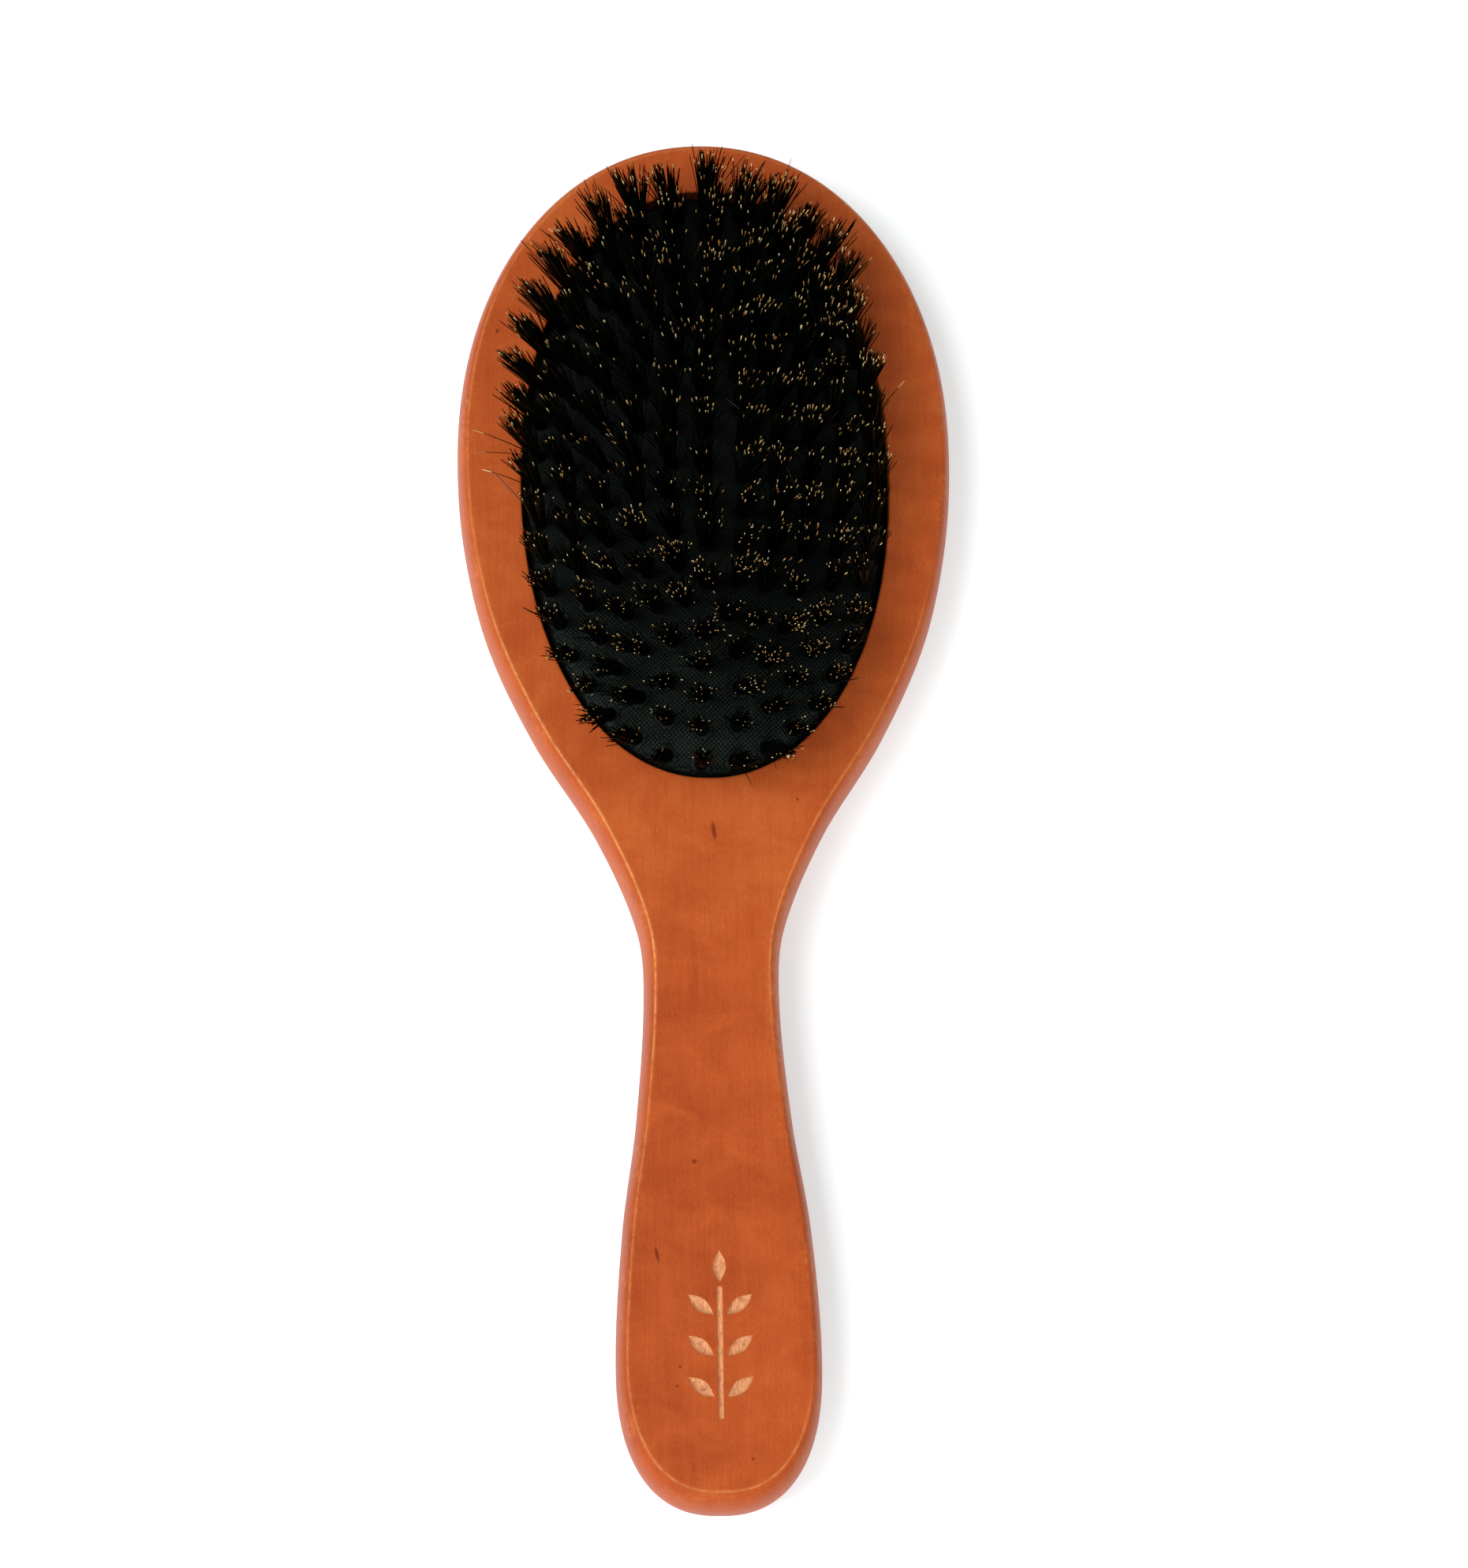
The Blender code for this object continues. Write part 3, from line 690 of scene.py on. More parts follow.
def body_outline():
    side = []
    for k in range(GRIP_CAP_STEPS):
        angle = -0.5 * math.pi * (1.0 - k / GRIP_CAP_STEPS)
        x, y = superellipse(angle, GRIP_HALF_WIDTH, GRIP_CAP_LENGTH, GRIP_POWER)
        side.append((x if k else 0.0, GRIP_CENTRE_Y + y))
    for k in range(SIDE_STEPS):
        y = GRIP_CENTRE_Y + (HEAD_CENTRE_Y - GRIP_CENTRE_Y) * k / SIDE_STEPS
        side.append((half_width(y), y))
    for k in range(HEAD_CAP_STEPS + 1):
        angle = 0.5 * math.pi * k / HEAD_CAP_STEPS
        x, y = superellipse(angle, HEAD_HALF_WIDTH, HEAD_CAP_LENGTH, HEAD_POWER)
        side.append((x if k < HEAD_CAP_STEPS else 0.0, HEAD_CENTRE_Y + y))
    outline = np.array(side + [(-x, y) for x, y in reversed(side[1:-1])])
    towards_end = rise(outline[:, 1], DRIFT_Y)
    return outline + np.outer(GRIP_DRIFT * towards_end, (1.0, 0.0))


def outline_normals(outline):
    tangent = np.roll(outline, -1, axis=0) - np.roll(outline, 1, axis=0)
    tangent /= np.linalg.norm(tangent, axis=1)[:, None]
    return np.stack((tangent[:, 1], -tangent[:, 0]), axis=1)


def top_edge(y):
    """Width of the upper edge rounding, which grows round the end of the grip."""
    towards_end = np.clip((GRIP_CENTRE_Y - y) / GRIP_CAP_LENGTH, 0.0, 1.0)
    return TOP_EDGE + (TOP_EDGE_AT_GRIP_END - TOP_EDGE) * towards_end ** 1.5


def lifted(points, z):
    """Flat points at a height."""
    return np.column_stack((points, np.full(len(points), z)))


def full_turn(steps):
    return 2.0 * math.pi * np.arange(steps) / steps


def oval_points(offset):
    half_x, half_y = OVAL_HALF_WIDTH + offset, OVAL_HALF_LENGTH + offset
    x, y = superellipse(full_turn(OVAL_SEGMENTS), half_x, half_y, OVAL_POWER)
    return np.column_stack((x, OVAL_CENTRE_Y + y))


def leaf_rings(x, y, angle):
    """Outline of a pointed leaf and the rings that sink into it, as (points, depth)."""
    u = np.arange(LEAF_STEPS + 1) / LEAF_STEPS
    side = np.column_stack((LEAF_LENGTH * u, LEAF_HALF_WIDTH * np.sin(math.pi * u)))
    loop = np.vstack((side, (side * (1.0, -1.0))[-2:0:-1]))
    c, s = math.cos(angle), math.sin(angle)
    rings = []
    for scale, depth in ((1.0, 0.0), (0.86, 0.55), (0.62, 0.85), (0.3, 1.0)):
        along = 0.5 * LEAF_LENGTH + (loop[:, 0] - 0.5 * LEAF_LENGTH) * (0.4 + 0.6 * scale)
        across = loop[:, 1] * scale
        ring = np.column_stack((x + along * c - across * s, y + along * s + across * c))
        rings.append((ring, depth * ENGRAVING_DEPTH))
    return rings


def stem_rings(low, high):
    middle, cap = 0.5 * (low + high), 0.5 * (high - low) - STEM_HALF_WIDTH
    angles = full_turn(STEM_SIDES)
    rings = []
    for scale, depth in ((1.0, 0.0), (0.8, 0.6), (0.4, 0.9)):
        radius = STEM_HALF_WIDTH * scale
        x = GRIP_DRIFT + radius * np.cos(angles)
        y = middle + np.where(np.sin(angles) >= 0.0, cap, -cap) + radius * np.sin(angles)
        rings.append((np.column_stack((x, y)), depth * ENGRAVING_DEPTH))
    return rings


def sprig_rings():
    half = 0.5 * SPRIG_LEAF_PAIRS * SPRIG_LEAF_PITCH
    low, high = SPRIG_CENTRE_Y - half, SPRIG_CENTRE_Y + half
    parts = [stem_rings(low - STEM_OVERHANG, high)]
    reach = STEM_HALF_WIDTH + STEM_TO_LEAF
    for k in range(SPRIG_LEAF_PAIRS):
        y = low + SPRIG_LEAF_PITCH * (k + LEAF_START_SHARE)
        parts.append(leaf_rings(GRIP_DRIFT + reach, y, LEAF_ANGLE))
        parts.append(leaf_rings(GRIP_DRIFT - reach, y, math.pi - LEAF_ANGLE))
    parts.append(leaf_rings(GRIP_DRIFT, high + STEM_TO_LEAF, 0.5 * math.pi))
    return parts


def arris_wear_and_highlight(outline, normals):
    """How worn and how strongly highlighted the arris is painted along the outline: the left side,
    which faces the key light, the waist and the grip's end.
    """
    at_waist = between(outline[:, 1], ARRIS_WORN_AND_HIGHLIGHT_Y)
    left = 0.5 - 0.5 * normals[:, 0]
    on_left = left * (ARRIS_WEAR_AND_HIGHLIGHT_OFF_WAIST + (1.0 - ARRIS_WEAR_AND_HIGHLIGHT_OFF_WAIST) * at_waist)
    at_end = rise(outline[:, 1], END_WORN_AND_HIGHLIGHT_Y)
    return np.maximum.reduce([on_left, ARRIS_WEAR_AND_HIGHLIGHT_AT_WAIST * at_waist, ARRIS_WEAR_AND_HIGHLIGHT_AT_END * at_end])


def recess_wall():
    """The recess from its rounded arris to its floor, as (offset from the oval, height)."""
    wall = [(2.0 * RECESS_ARRIS, BODY_THICKNESS)]
    for k in range(RECESS_ARRIS_STEPS + 1):
        angle = 0.5 * math.pi * k / RECESS_ARRIS_STEPS
        wall.append((RECESS_ARRIS * (1.0 - math.sin(angle)),
                     BODY_THICKNESS - RECESS_ARRIS * (1.0 - math.cos(angle))))
    return wall + [
        (0.0, GROOVE_TOP),
        (GROOVE_DEPTH, GROOVE_TOP),
        (GROOVE_DEPTH, GROOVE_BOTTOM),
        (0.0, GROOVE_BOTTOM),
        (0.0, RECESS_FLOOR + RECESS_FLOOR_EDGE),
        (-RECESS_FLOOR_EDGE, RECESS_FLOOR),
    ]


def build_wood(wood, raw_wood):
    shape = Shape()
    outline = body_outline()
    normals = outline_normals(outline)
    edge = top_edge(outline[:, 1])
    edge_wear_and_highlight = arris_wear_and_highlight(outline, normals)

    def inset(amount, z):
        return lifted(outline - normals * np.reshape(amount, (-1, 1)), z)

    loops = []
    for width in BACK_STRIP_WIDTHS:
        loops.append(shape.add(inset(BACK_EDGE + width, 0.0)))
    for k in range(BACK_EDGE_STEPS, -1, -1):
        angle = 0.5 * math.pi * k / BACK_EDGE_STEPS
        ring = inset((1.0 - math.cos(angle)) * BACK_EDGE, WIDEST_LEVEL * (1.0 - math.sin(angle)))
        loops.append(shape.add(ring))
    for k in range(1, TOP_EDGE_STEPS + 1):
        # The loops crowd towards the arris
        angle = 0.5 * math.pi * (1.0 - (1.0 - k / TOP_EDGE_STEPS) ** 1.5)
        height = WIDEST_LEVEL + (BODY_THICKNESS - WIDEST_LEVEL) * math.sin(angle)
        below = BODY_THICKNESS - height
        from_arris = np.hypot(below, edge * math.cos(angle))
        arris = edge_wear_and_highlight * np.exp(-(from_arris / ARRIS_REACH) ** 2)
        shoulder = math.exp(-((below - SHOULDER_DEPTH) / SHOULDER_REACH) ** 2)
        ring = inset((1.0 - math.cos(angle)) * edge, height)
        loops.append(shape.add(ring, arris=arris, shoulder=shoulder))
    for width, arris, shoulder in TOP_STRIPS:
        ring = inset(edge + width, BODY_THICKNESS)
        loops.append(shape.add(ring, arris=arris * edge_wear_and_highlight, shoulder=shoulder))
    shape.stack(loops)
    shape.face(loops[0])

    recess = [shape.add(lifted(oval_points(offset), z)) for offset, z in recess_wall()]
    shape.stack(recess)
    shape.face(recess[-1])

    holes = [recess[0]]
    for rings in sprig_rings():
        sunk = [shape.add(lifted(ring, BODY_THICKNESS - depth)) for ring, depth in rings]
        holes.append(sunk[0])
        shape.stack(sunk, 1)
        shape.face(sunk[-1], 1)
    shape.fill(loops[-1], holes)
    return shape.make("satin_wood_body", (wood, raw_wood))


# Cushion


def level_axes(level):
    return OVAL_HALF_WIDTH * level, OVAL_CORE + (OVAL_HALF_LENGTH - OVAL_CORE) * level


def level_at(x, y):
    """Level of the oval through each point: 0 is the centre line and 1 is the opening."""
    x, y = np.atleast_1d(x), np.atleast_1d(y)
    low, high = np.full(len(x), 1e-6), np.full(len(x), 1.5)
    for _ in range(40):
        level = 0.5 * (low + high)
        half_x, half_y = level_axes(level)
        reach = (np.abs(x / half_x) ** OVAL_POWER
                 + np.abs((y - OVAL_CENTRE_Y) / half_y) ** OVAL_POWER)
        outside = reach > 1.0
        low = np.where(outside, level, low)
        high = np.where(outside, high, level)
    return high


def dome_share(level):
    return 1.0 - level ** PAD_CURVE


def dome_height(x, y):
    return PAD_RIM_HEIGHT + PAD_RISE * dome_share(level_at(x, y))


def on_dome(spots, depth):
    return np.column_stack((spots, dome_height(*spots.T) - depth))


def between(value, limits):
    """Share that rises over the first two limits and falls over the last two."""
    return rise(value, limits[:2]) * rise(value, (limits[3], limits[2]))


def lean_of(x, y):
    """Sideways and lengthways slope of a tuft: the tufts fan out, and less so at the waist."""
    heel = 1.0 - rise(y, HEEL_Y)
    toe_y = OVAL_CENTRE_Y + OVAL_HALF_LENGTH
    toe = max(y - OVAL_CENTRE_Y, 0.0) / (toe_y - OVAL_CENTRE_Y)
    rim = rise(abs(x), RIM_X)
    if x < 0.0:
        reach = min(-x / LEAN_LEFT_REACH, 1.0)
        side = -LEAN_LEFT * (1.0 - (1.0 - reach) ** LEAN_LEFT_POWER)
        side *= LEAN_LEFT_LOW_SHARE + (1.0 - LEAN_LEFT_LOW_SHARE) * rise(y, LEAN_LEFT_Y)
        side *= 1.0 - UPRIGHT_SHARE_LEFT * rim * between(y, UPRIGHT_LEFT_Y)
        side *= 1.0 - TOE_CALM * toe * toe
    else:
        reach = x / (LEAN_RIGHT_PEAK_X * (1.0 + toe))
        side = LEAN_RIGHT * reach * math.exp(1.0 - reach)
        side *= LEAN_RIGHT_LOW_SHARE + (1.0 - LEAN_RIGHT_LOW_SHARE) * rise(y, LEAN_RIGHT_Y)
        side -= UPRIGHT_RIGHT * rim * between(y, UPRIGHT_RIGHT_Y)
    return math.tan(side), math.tan(LEAN_TOE * toe - LEAN_HEEL * heel)


def ring_points(level, count, lag):
    half_x, half_y = level_axes(level)
    angles = 2.0 * math.pi * np.arange(721) / 720 - 0.5 * math.pi
    x, y = superellipse(angles, half_x, half_y, OVAL_POWER)
    lengths = np.concatenate(([0.0], np.cumsum(np.hypot(np.diff(x), np.diff(y)))))
    share = np.arange(count) / count
    held_back = lag * np.sin(math.pi * share)
    targets = (RING_START + lengths[-1] * share - held_back) % lengths[-1]
    return list(zip(np.interp(targets, lengths, x), OVAL_CENTRE_Y + np.interp(targets, lengths, y)))


def centre_points():
    step = 2.0 * CENTRE_HALF_LENGTH / (CENTRE_COUNT - 1)
    low = OVAL_CENTRE_Y - CENTRE_HALF_LENGTH
    return [(CENTRE_ROW_X, low + step * k) for k in range(CENTRE_COUNT)]


def tuft_rows():
    rows = []
    for i, (count, runs) in enumerate(zip(RING_COUNTS, RING_RUNS)):
        level = OUTER_RING_LEVEL - RING_LEVEL_STEP * i
        lag = 0.0 if i else OUTER_RING_LAG
        rows.append((f"ring{i + 1}", ring_points(level, count, lag), runs))
    rows.append(("centre", centre_points(), CENTRE_RUNS))
    return rows


def from_tufts(spots, tufts):
    """Distance from each spot to the nearest tuft."""
    near = np.full(len(spots), 1.0)
    for tuft in tufts:
        near = np.minimum(near, np.hypot(spots[:, 0] - tuft[0], spots[:, 1] - tuft[1]))
    return near


def shell_points(spots, tufts, relief):
    """Spots on the outer face of the cushion, which is drawn in a little round each tuft."""
    near = from_tufts(spots, tufts)
    pucker = PUCKER_DEPTH * np.exp(-((near - PAD_HOLE_RADIUS) / PUCKER_REACH) ** 2)
    return on_dome(spots, pucker - relief)


CELL_CORNERS = ((0, 0), (1, 0), (1, 1), (0, 1))
CELL_NEIGHBOURS = ((0, -1), (1, 0), (0, 1), (-1, 0))


class Weave:
    """Slanted lattice of the cells that lie whole on the cushion, clear of its rim and holes."""

    def __init__(self, tufts):
        self.tufts = tufts
        self.axes = np.array([(math.cos(a), math.sin(a)) for a in WEAVE_ANGLES]) * WEAVE_PITCH
        self.reach = int(1.5 * OVAL_HALF_LENGTH / WEAVE_PITCH)
        count = 2 * self.reach + 1
        grid_i, grid_j = np.meshgrid(np.arange(count), np.arange(count), indexing="ij")
        corners = self.place(grid_i.ravel(), grid_j.ravel())
        rim_level = 1.0 - (PAD_SHELL_INSET + WEAVE_TO_RIM) / OVAL_HALF_WIDTH
        usable = level_at(*corners.T) < rim_level
        usable[usable] = from_tufts(corners[usable], tufts) > PAD_HOLE_RADIUS + WEAVE_TO_HOLE
        usable = usable.reshape(count, count)
        kept = usable[:-1, :-1] & usable[1:, :-1] & usable[1:, 1:] & usable[:-1, 1:]
        i, j = np.nonzero(kept)
        knots = self.place(i + 0.5, j + 0.5)
        kept[i, j] = from_tufts(knots, tufts) > PAD_HOLE_RADIUS + KNOT_TO_HOLE
        self.kept = kept
        self.i, self.j = np.nonzero(kept)
        self.corner_index = np.full((count, count), -1)

    def place(self, i, j):
        across, along = self.axes
        spot = np.multiply.outer(i - self.reach, across) + np.multiply.outer(j - self.reach, along)
        return spot + (0.0, OVAL_CENTRE_Y)

    def covers(self, spots):
        """Which spots lie in a cell of the lattice."""
        cells = np.linalg.solve(self.axes.T, (spots - (0.0, OVAL_CENTRE_Y)).T).T + self.reach
        cells = np.clip(np.floor(cells).astype(int), 0, len(self.kept) - 1)
        return self.kept[cells[:, 0], cells[:, 1]]

    def corner(self, step):
        """Point index of one corner of each cell."""
        return self.corner_index[self.i + step[0], self.j + step[1]]

    def add_to(self, shape):
        """Raised threads between the cells and a valley with a knot in each."""
        used = np.zeros(self.corner_index.shape, bool)
        for a, b in CELL_CORNERS:
            used[self.i + a, self.j + b] = True
        threads = shell_points(self.place(*np.nonzero(used)), self.tufts, WEAVE_RIDGE)
        self.corner_index[used] = shape.add(threads, ridge=1.0)
        inner = []
        for a, b in CELL_CORNERS:
            valley = self.place(self.i + WEAVE_VALLEY_SPAN[a], self.j + WEAVE_VALLEY_SPAN[b])
            inner.append(shape.add(shell_points(valley, self.tufts, -WEAVE_VALLEY), ridge=0.0))
        knots = self.place(self.i + 0.5, self.j + 0.5)
        middle = shape.add(shell_points(knots, self.tufts, WEAVE_KNOT), ridge=RIDGE_AT_KNOT)
        outer = [self.corner(step).tolist() for step in CELL_CORNERS]
        for n, knot in enumerate(middle):
            for k in range(4):
                j = (k + 1) % 4
                shape.face((outer[k][n], outer[j][n], inner[j][n], inner[k][n]))
                shape.face((inner[k][n], inner[j][n], knot))

    def border(self):
        """Edges at which a cell has no neighbour."""
        edges = []
        for k, (step_i, step_j) in enumerate(CELL_NEIGHBOURS):
            alone = ~self.kept[self.i + step_i, self.j + step_j]
            first = self.corner(CELL_CORNERS[k])[alone]
            last = self.corner(CELL_CORNERS[(k + 1) % 4])[alone]
            edges += zip(first.tolist(), last.tolist())
        return edges


def add_plain_rubber(shape, weave, edges):
    """The collars round the holes and the strip along the rim, outside the weave."""
    names = sorted({name for edge in edges for name in edge})
    number = {name: k for k, name in enumerate(names)}
    pairs = [(number[first], number[last]) for first, last in edges]
    inside_edges = 1
    placed, _, faces, origins, _, _ = delaunay_2d_cdt(
        shape.flat(names), pairs, [], inside_edges, 1e-6)
    centres = [sum((placed[k] for k in face), Vector((0.0, 0.0))) / 3.0 for face in faces]
    centres = np.array(centres) * MM
    # Just less than the reach of the holes' flat sides
    hole_reach = 0.98 * PAD_HOLE_RADIUS * math.cos(math.pi / PAD_HOLE_SIDES)
    dropped = weave.covers(centres) | (from_tufts(centres, weave.tufts) < hole_reach)
    for face, left_out in zip(faces, dropped):
        if not left_out:
            shape.face([names[origins[k][0]] for k in face])


def bead_section():
    """Lip, bead in the groove and inner edge, as (offset from the oval, height)."""
    lip_height = float(dome_height(*oval_points(-FIT_GAP)[0])[0]) - LIP_DROP
    top, bottom = GROOVE_TOP - FIT_GAP, GROOVE_BOTTOM + FIT_GAP
    outer = GROOVE_DEPTH - FIT_GAP
    return (
        (-FIT_GAP - LIP_ROUNDING, lip_height),
        (-FIT_GAP, lip_height - LIP_ROUNDING),
        (-FIT_GAP, top),
        (outer - BEAD_ROUNDING, top),
        (outer, top - BEAD_ROUNDING),
        (outer, bottom + BEAD_ROUNDING),
        (outer - BEAD_ROUNDING, bottom),
        (-PAD_SHELL_INSET, bottom),
        (-PAD_SHELL_INSET - BEAD_ROUNDING, bottom + BEAD_ROUNDING),
    )


def build_cushion(rows, rubber):
    """Rubber shell with woven relief, a hole for each tuft and a bead in the groove."""
    tufts = np.array([point for _, points, _ in rows for point in points])
    shape = Shape()
    weave = Weave(tufts)
    weave.add_to(shape)
    for name in {name for edge in weave.border() for name in edge}:
        shape.marks["ridge"][name] = RIDGE_AT_BORDER

    rim = shape.add(on_dome(oval_points(-PAD_SHELL_INSET), 0.0), ridge=RIDGE_AT_RIM)
    edges = loop_edges(rim)
    steps = full_turn(PAD_HOLE_SIDES)
    circle = PAD_HOLE_RADIUS * np.column_stack((np.cos(steps), np.sin(steps)))
    bottoms = []
    for tuft in tufts:
        spots = circle + tuft
        top = shape.add(shell_points(spots, tufts, -LIP_DROP), ridge=RIDGE_AT_HOLE)
        edges += loop_edges(top)
        under = spots - np.array(lean_of(*tuft)) * PAD_THICKNESS
        bottom = shape.add(on_dome(under, PAD_THICKNESS))
        shape.bridge(top, bottom)
        bottoms.append(bottom)
    add_plain_rubber(shape, weave, edges + weave.border())

    loops = [rim]
    for offset, z in bead_section():
        loops.append(shape.add(lifted(oval_points(offset), z), ridge=RIDGE_AT_RIM))
    inner_edge = oval_points(-PAD_SHELL_INSET - BEAD_ROUNDING)
    loops.append(shape.add(on_dome(inner_edge, PAD_THICKNESS)))
    shape.stack(loops)
    shape.fill(loops[-1], bottoms)
    return shape.make("woven_rubber_cushion", (rubber,), sharp=50.0)


def build_backing(cloth):
    """Thin domed sheet of cloth behind the draw wires."""
    angles = full_turn(CLOTH_SEGMENTS)
    edge_level = 1.0 - CLOTH_INSET / OVAL_HALF_WIDTH
    levels = edge_level * np.linspace(CLOTH_INNER_LEVEL, 1.0, CLOTH_RINGS)

    def ring(level, drop):
        half_x, half_y = level_axes(level)
        x, y = superellipse(angles, half_x, half_y, OVAL_POWER)
        z = PAD_RIM_HEIGHT + PAD_RISE * dome_share(level) - drop
        return lifted(np.column_stack((x, OVAL_CENTRE_Y + y)), z)

    shape = Shape()
    loops = [shape.add(ring(level, CLOTH_TOP)) for level in levels]
    loops += [shape.add(ring(level, CLOTH_TOP + CLOTH_THICKNESS)) for level in levels[::-1]]
    shape.stack(loops)
    shape.face(loops[0])
    shape.face(loops[-1])
    piece = shape.make("backing_cloth_sheet", (cloth,), sharp=60.0)
    edge = ring(edge_level, 0.0)
    x, y = edge[:, 0], edge[:, 1]
    area = 0.5 * abs(float(np.sum(x * np.roll(y, -1) - y * np.roll(x, -1))))
    return piece, (float(np.ptp(x)), float(np.ptp(y))), area


# Bristles


class Hairs:
    """Closed hairs, plugs and wires that become one mesh."""

    def __init__(self):
        self.points, self.faces, self.slots, self.count = [], [], [], 0

    def tubes(self, paths, radii, slots, sides, turn=0.0):
        """Tubes of k sections: paths is (n, k, 3), radii (n, k), slots (n, k - 1), turn (n) or 0."""
        n, k, _ = paths.shape
        direction = paths[:, -1] - paths[:, 0]
        direction /= np.linalg.norm(direction, axis=1)[:, None]
        helper = np.where(np.abs(direction[:, 1:2]) < 0.8, (0.0, 1.0, 0.0), (1.0, 0.0, 0.0))
        u = np.cross(direction, helper)
        u /= np.linalg.norm(u, axis=1)[:, None]
        v = np.cross(direction, u)
        angles = np.reshape(turn, (-1, 1)) + full_turn(sides)
        around = (np.cos(angles)[:, :, None] * u[:, None, :]
                  + np.sin(angles)[:, :, None] * v[:, None, :])
        points = paths[:, :, None, :] + radii[:, :, None, None] * around[:, None, :, :]
        self.points.append(points.reshape(-1, 3))
        index = self.count + np.arange(n * k * sides).reshape(n, k, sides)
        after = np.roll(index, -1, axis=2)
        quads = np.stack((index[:, :-1], after[:, :-1], after[:, 1:], index[:, 1:]), axis=-1)
        self.faces += quads.reshape(-1, 4).tolist()
        self.slots += np.repeat(slots, sides, axis=1).ravel().tolist()
        self.faces += index[:, 0, ::-1].tolist() + index[:, -1].tolist()
        self.slots += slots[:, 0].tolist() + slots[:, -1].tolist()
        self.count += n * k * sides

    def make(self, name, materials):
        mesh = bpy.data.meshes.new(name)
        mesh.from_pydata(np.concatenate(self.points).tolist(), [], self.faces)
        mesh.polygons.foreach_set("material_index", self.slots)
        return link_mesh(name, mesh, materials, sharp=60.0)


def pale_share(x, y):
    """How many of a tuft's tips are worn pale: most on the right, fewest at the upper left."""
    right = rise(x, PALE_RIGHT_X)
    toe = rise(y, PALE_TOE_Y)
    waist = between(y, PALE_WAIST_Y)
    share = 0.06 + 0.13 * right * right + 0.04 * toe
    return share + waist * (0.01 + (0.05 + 0.24 * right) * (1.0 - right))


def add_tuft(hairs, x, y):
    level = float(level_at(x, y)[0])
    share = dome_share(level)
    z = PAD_RIM_HEIGHT + PAD_RISE * share
    tip_z = TIP_HEIGHT_AT_RIM + (TIP_HEIGHT_AT_CENTRE - TIP_HEIGHT_AT_RIM) * share
    slope = np.array((*lean_of(x, y), 1.0))
    foot = np.array((x, y, z))

    # The folded ends of the bristles, gripped by the draw wire
    plug_levels = np.array((-PLUG_DEPTH, -PLUG_DEPTH + 0.25 * MM, 0.05 * MM, 0.3 * MM))
    plug = foot + slope * plug_levels[:, None]
    plug_radii = PLUG_RADIUS * np.array((0.75, 1.0, 1.0, 0.75))
    hairs.tubes(plug[None], plug_radii[None], np.full((1, 3), BRISTLE_BLACK), sides=8)

    n = BRISTLES_PER_TUFT
    slope = slope + np.append(np.tan(rng.normal(0.0, LEAN_JITTER, 2)), 0.0)
    reach = np.sqrt(rng.random(n))
    bearing = rng.random(n) * 2.0 * math.pi
    root_side = ROOT_SPREAD * reach[:, None] * np.column_stack((np.cos(bearing), np.sin(bearing)))
    tip_bearing = bearing + rng.normal(0.0, BEARING_JITTER, n)
    loss = TIP_SPREAD_LOSS * (1.0 - rise(y, TIP_SPREAD_FULL_Y))
    spread = TIP_SPREAD * (1.0 - loss * level) * rng.uniform(*TUFT_SPREAD)
    spread = spread * reach * rng.uniform(*HAIR_SPREAD, n)
    spread *= np.where(rng.random(n) < LOOSE_SHARE, LOOSE_SPREAD, 1.0)
    tip_side = np.column_stack((np.cos(tip_bearing), TIP_FLATTEN * np.sin(tip_bearing)))
    tip_side *= spread[:, None]
    tip_side += rng.normal(0.0, SIDEWAYS_JITTER, (n, 2))
    length = (tip_z - z) * (1.0 - np.abs(rng.normal(0.0, LENGTH_JITTER, n)))
    root = foot + np.column_stack((root_side, np.full(n, 0.05 * MM)))
    tip = foot + slope * length[:, None]
    tip[:, :2] += tip_side
    bend = root + slope * (0.5 * length)[:, None]
    bend[:, :2] += BEND_SHARE * (tip_side - root_side) + rng.normal(0.0, SIDEWAYS_JITTER, (n, 2))

    pale = rng.random(n) < 1.25 * pale_share(x, y) * rng.uniform(0.4, 1.6)
    tip_slot = rng.choice((TIP_GOLD, TIP_PALE, TIP_RUST), n, p=TIP_COLOUR_SHARES)
    tip_length = rng.uniform(*TIP_LENGTH, n) * MM / length
    add_bristles(hairs, root, bend, tip, pale, tip_slot, tip_length)


def add_bristles(hairs, root, bend, tip, pale, tip_slot, tip_length,
                 thick=BRISTLE_RADIUS, base=BRISTLE_BLACK):
    """Curved bristles; the last two sections carry the pale split end, where there is one."""
    n = len(root)
    body = np.outer(1.0 - 1.7 * tip_length, np.linspace(0.0, 1.0, BRISTLE_POINTS - 2))
    along = np.concatenate((body, (1.0 - tip_length)[:, None], np.ones((n, 1))), axis=1)
    t = along[:, :, None]
    paths = ((1.0 - t) ** 2 * root[:, None] + 2.0 * t * (1.0 - t) * bend[:, None]
             + t ** 2 * tip[:, None])
    radii = thick * (1.0 - 0.3 * along) * rng.uniform(*HAIR_THICKNESS, n)[:, None]
    radii[:, -2] *= 1.0 + 0.05 * pale
    radii[:, -1] *= np.where(pale, 1.0, 0.45)
    slots = np.full((n, BRISTLE_POINTS - 1), base)
    if base == BRISTLE_BLACK:
        # More brown hairs at the sides of the head: real brown hairs, and painted highlight standing
        # in for glints on the hairs at the rim
        at_side = abs(root[0, 0]) / OVAL_HALF_WIDTH
        brown_and_highlight_share = 0.03 + 0.25 * at_side ** 2 * rise(root[0, 1], BROWN_AND_HIGHLIGHT_Y)
        slots[rng.random(n) < brown_and_highlight_share] = BRISTLE_BROWN
    slots[pale, -2] = BRISTLE_UMBER
    slots[pale, -1] = tip_slot[pale]
    hairs.tubes(paths, radii, slots, BRISTLE_SIDES, turn=rng.random(n) * math.pi)


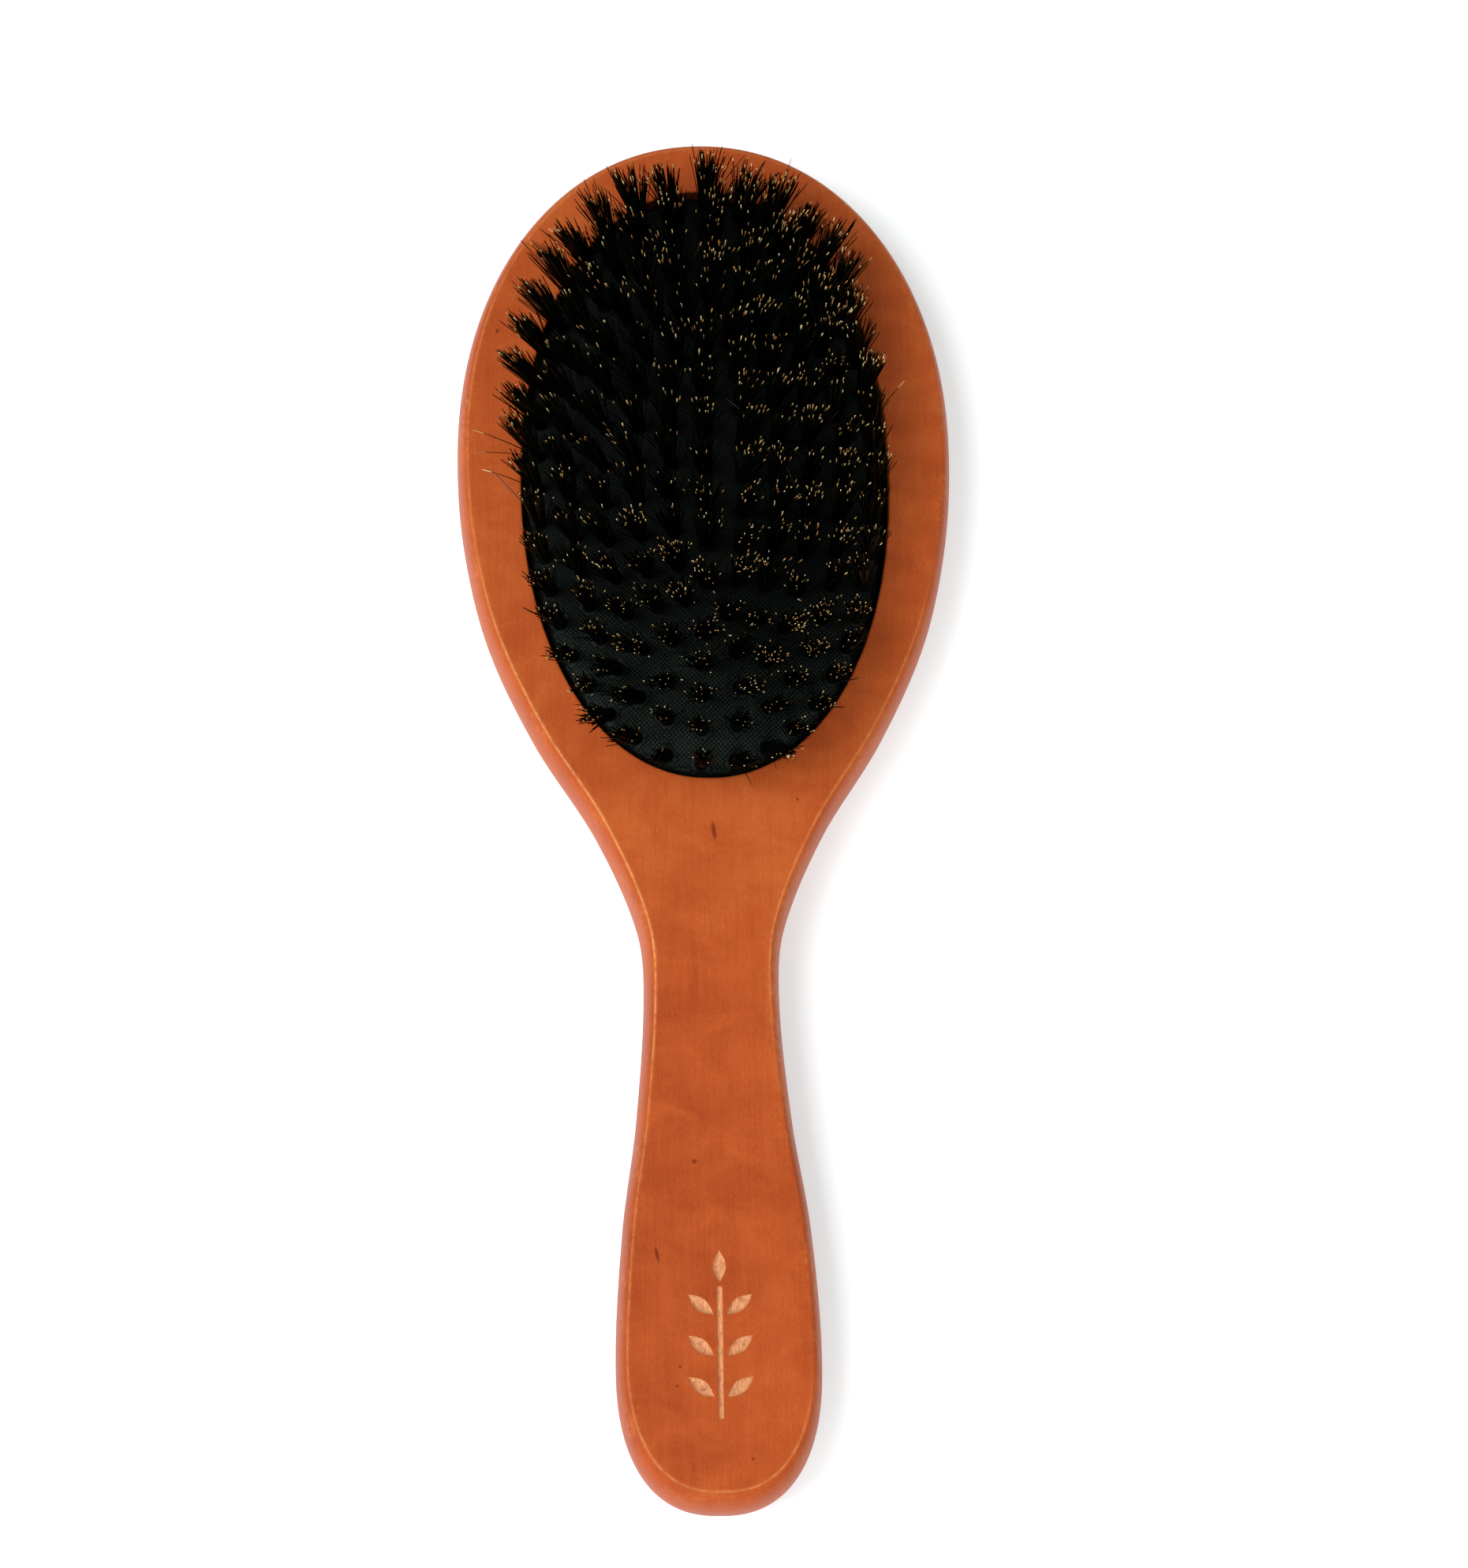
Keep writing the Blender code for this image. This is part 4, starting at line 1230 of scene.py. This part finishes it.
def add_wire(hairs, first, last):
    """Draw wire between the feet of two neighbouring tufts."""
    ends = []
    for x, y in (first, last):
        foot = np.array((x, y, float(dome_height(x, y)[0])))
        ends.append(foot - WIRE_DEPTH * np.array((*lean_of(x, y), 1.0)))
    t = np.linspace(0.0, 1.0, 5)[:, None]
    path = ends[0] * (1.0 - t) + ends[1] * t
    hairs.tubes(path[None], np.full((1, 5), WIRE_RADIUS), np.full((1, 4), WIRE), sides=8)


# Long stray bristles, in mm: a place near its tuft, its tip and its colour
STRAYS = (
    ((-25.0, 57.0), (-36.4, 58.1, 18.0), TIP_GOLD),
    ((-25.0, 53.0), (-36.2, 53.7, 20.0), TIP_RUST),
    ((-25.7, 50.0), (-35.0, 51.6, 18.0), TIP_PALE),
    ((-25.7, 42.0), (-33.7, 51.0, 20.0), BRISTLE_GREY),
    ((-16.3, 33.0), (-10.7, 36.7, 22.0), BRISTLE_GREY),
    ((-6.7, 33.8), (-10.7, 36.7, 22.0), BRISTLE_GREY),
    ((9.6, 55.2), (2.8, 59.4, 29.0), BRISTLE_GREY),
    ((13.5, 46.9), (11.5, 49.7, 28.0), BRISTLE_GREY),
    ((16.5, 71.2), (15.5, 77.2, 30.0), BRISTLE_GREY),
    ((25.2, 62.0), (30.7, 63.3, 26.0), TIP_GOLD),
    ((0.9, 95.9), (6.3, 99.0, 31.0), BRISTLE_BLACK),
    ((7.8, 93.6), (13.3, 94.0, 30.0), TIP_GOLD),
    ((-11.4, 94.6), (-16.9, 95.0, 29.0), TIP_RUST),
    ((4.0, 6.0), (6.6, 0.6, 16.0), BRISTLE_BLACK),
    ((9.0, 8.0), (10.3, 3.5, 16.0), BRISTLE_BLACK),
)


def add_strays(hairs, tufts, claimed):
    """The stray bristles whose nearest tuft is in this run."""
    for (_, tip, slot), (tuft_x, tuft_y) in zip(STRAYS, claimed):
        if (tuft_x, tuft_y) not in tufts:
            continue
        z = float(dome_height(tuft_x, tuft_y)[0])
        root = np.array(((tuft_x, tuft_y, z),))
        tip = np.array((tip,)) * MM
        bend = 0.5 * (root + tip) + (0.0, 0.0, STRAY_BEND)
        pale = np.array((slot >= TIP_GOLD,))
        base = BRISTLE_GREY if slot == BRISTLE_GREY else BRISTLE_BLACK
        add_bristles(hairs, root, bend, tip, pale, np.array((slot,)),
                     np.array((STRAY_TIP_SHARE,)), thick=STRAY_RADIUS, base=base)


BODY_OF_ROW = {"ring1": "cushion_ring1", "ring2": "cushion_ring2", "ring3": "cushion_ring3"}


def build_bristles(rows, materials):
    everywhere = [point for _, points, _ in rows for point in points]
    claimed = []
    for (x, y), _, _ in STRAYS:
        claimed.append(min(everywhere, key=lambda p: math.hypot(p[0] - x * MM, p[1] - y * MM)))
    for name, points, runs in rows:
        starts = [round(len(points) * k / runs) for k in range(runs + 1)]
        for letter, start, end in zip("abcdefghijk", starts, starts[1:]):
            hairs = Hairs()
            run = points[start:end]
            for x, y in run:
                add_tuft(hairs, x, y)
            for first, last in zip(run, run[1:]):
                add_wire(hairs, first, last)
            add_strays(hairs, run, claimed)
            piece = hairs.make(f"bristles_{name}_{letter}", materials)
            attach(piece, BODY_OF_ROW.get(name, "cushion_centre"))
            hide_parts(f"tufts_{name}_{letter}")


# Floor and light


FLOOR_GLOW = 0.40
FLOOR_GLOW_COLOUR = (0.81, 0.98, 1.0, 1.0)
FLOOR_HALF = 3.0
FLOOR_DROP = 0.0001
WORLD_STRENGTH = 0.28

# Soft boxes, all aimed at the origin: name, place, width and height, power in watts
SOFT_BOXES = (
    ("key_left", (-0.85, -0.15, 1.35), (1.0, 1.0), 22.0),
    ("fill_front", (-0.25, -1.4, 0.95), (1.4, 0.8), 12.0),
    ("fill_right", (1.3, 0.2, 1.2), (1.4, 1.4), 5.0),
)


def add_floor():
    material, tree, shader = new_material("pale_floor")
    tone = noise(tree, 3.0, 2.0)
    colour = ramp(tree, tone, ((0.0, (0.88, 0.88, 0.88)), (1.0, (0.90, 0.90, 0.90))))
    paint(tree, shader, colour, 0.9, 0.1)
    shader.inputs["Emission Color"].default_value = FLOOR_GLOW_COLOUR
    shader.inputs["Emission Strength"].default_value = FLOOR_GLOW
    shape = Shape()
    corners = ((-1.0, -1.0), (1.0, -1.0), (1.0, 1.0), (-1.0, 1.0))
    shape.face(shape.add(lifted(FLOOR_HALF * np.array(corners), -FLOOR_DROP)))
    shape.make("floor", (material,))


def add_light(name, place, size, power):
    data = bpy.data.lights.new(name, "AREA")
    data.shape = "RECTANGLE"
    data.size, data.size_y = size
    data.energy = power
    light = bpy.data.objects.new(name, data)
    light.location = place
    light.rotation_euler = (-Vector(place)).to_track_quat("-Z", "Y").to_euler()
    bpy.context.scene.collection.objects.link(light)


def light_scene():
    world = bpy.data.worlds.new("studio")
    bpy.context.scene.world = world
    world.use_nodes = True
    background = world.node_tree.nodes["Background"]
    background.inputs["Color"].default_value = (1.0, 1.0, 1.0, 1.0)
    background.inputs["Strength"].default_value = WORLD_STRENGTH
    for soft_box in SOFT_BOXES:
        add_light(*soft_box)
    bpy.context.scene.view_settings.view_transform = "Standard"


def main():
    rows = tuft_rows()
    body = build_wood(make_wood(), make_raw_wood())
    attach(body, "brush_body")
    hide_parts("wood_body")

    cushion = build_cushion(rows, make_rubber())
    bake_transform(cushion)
    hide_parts("cushion_pad")

    backing, flat, area = build_backing(make_cloth())
    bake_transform(backing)
    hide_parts("backing_cloth")

    bristle_materials = [make_bristle(*row) for row in BRISTLE_COLOURS] + [make_wire()]
    build_bristles(rows, bristle_materials)

    add_floor()
    light_scene()


main()
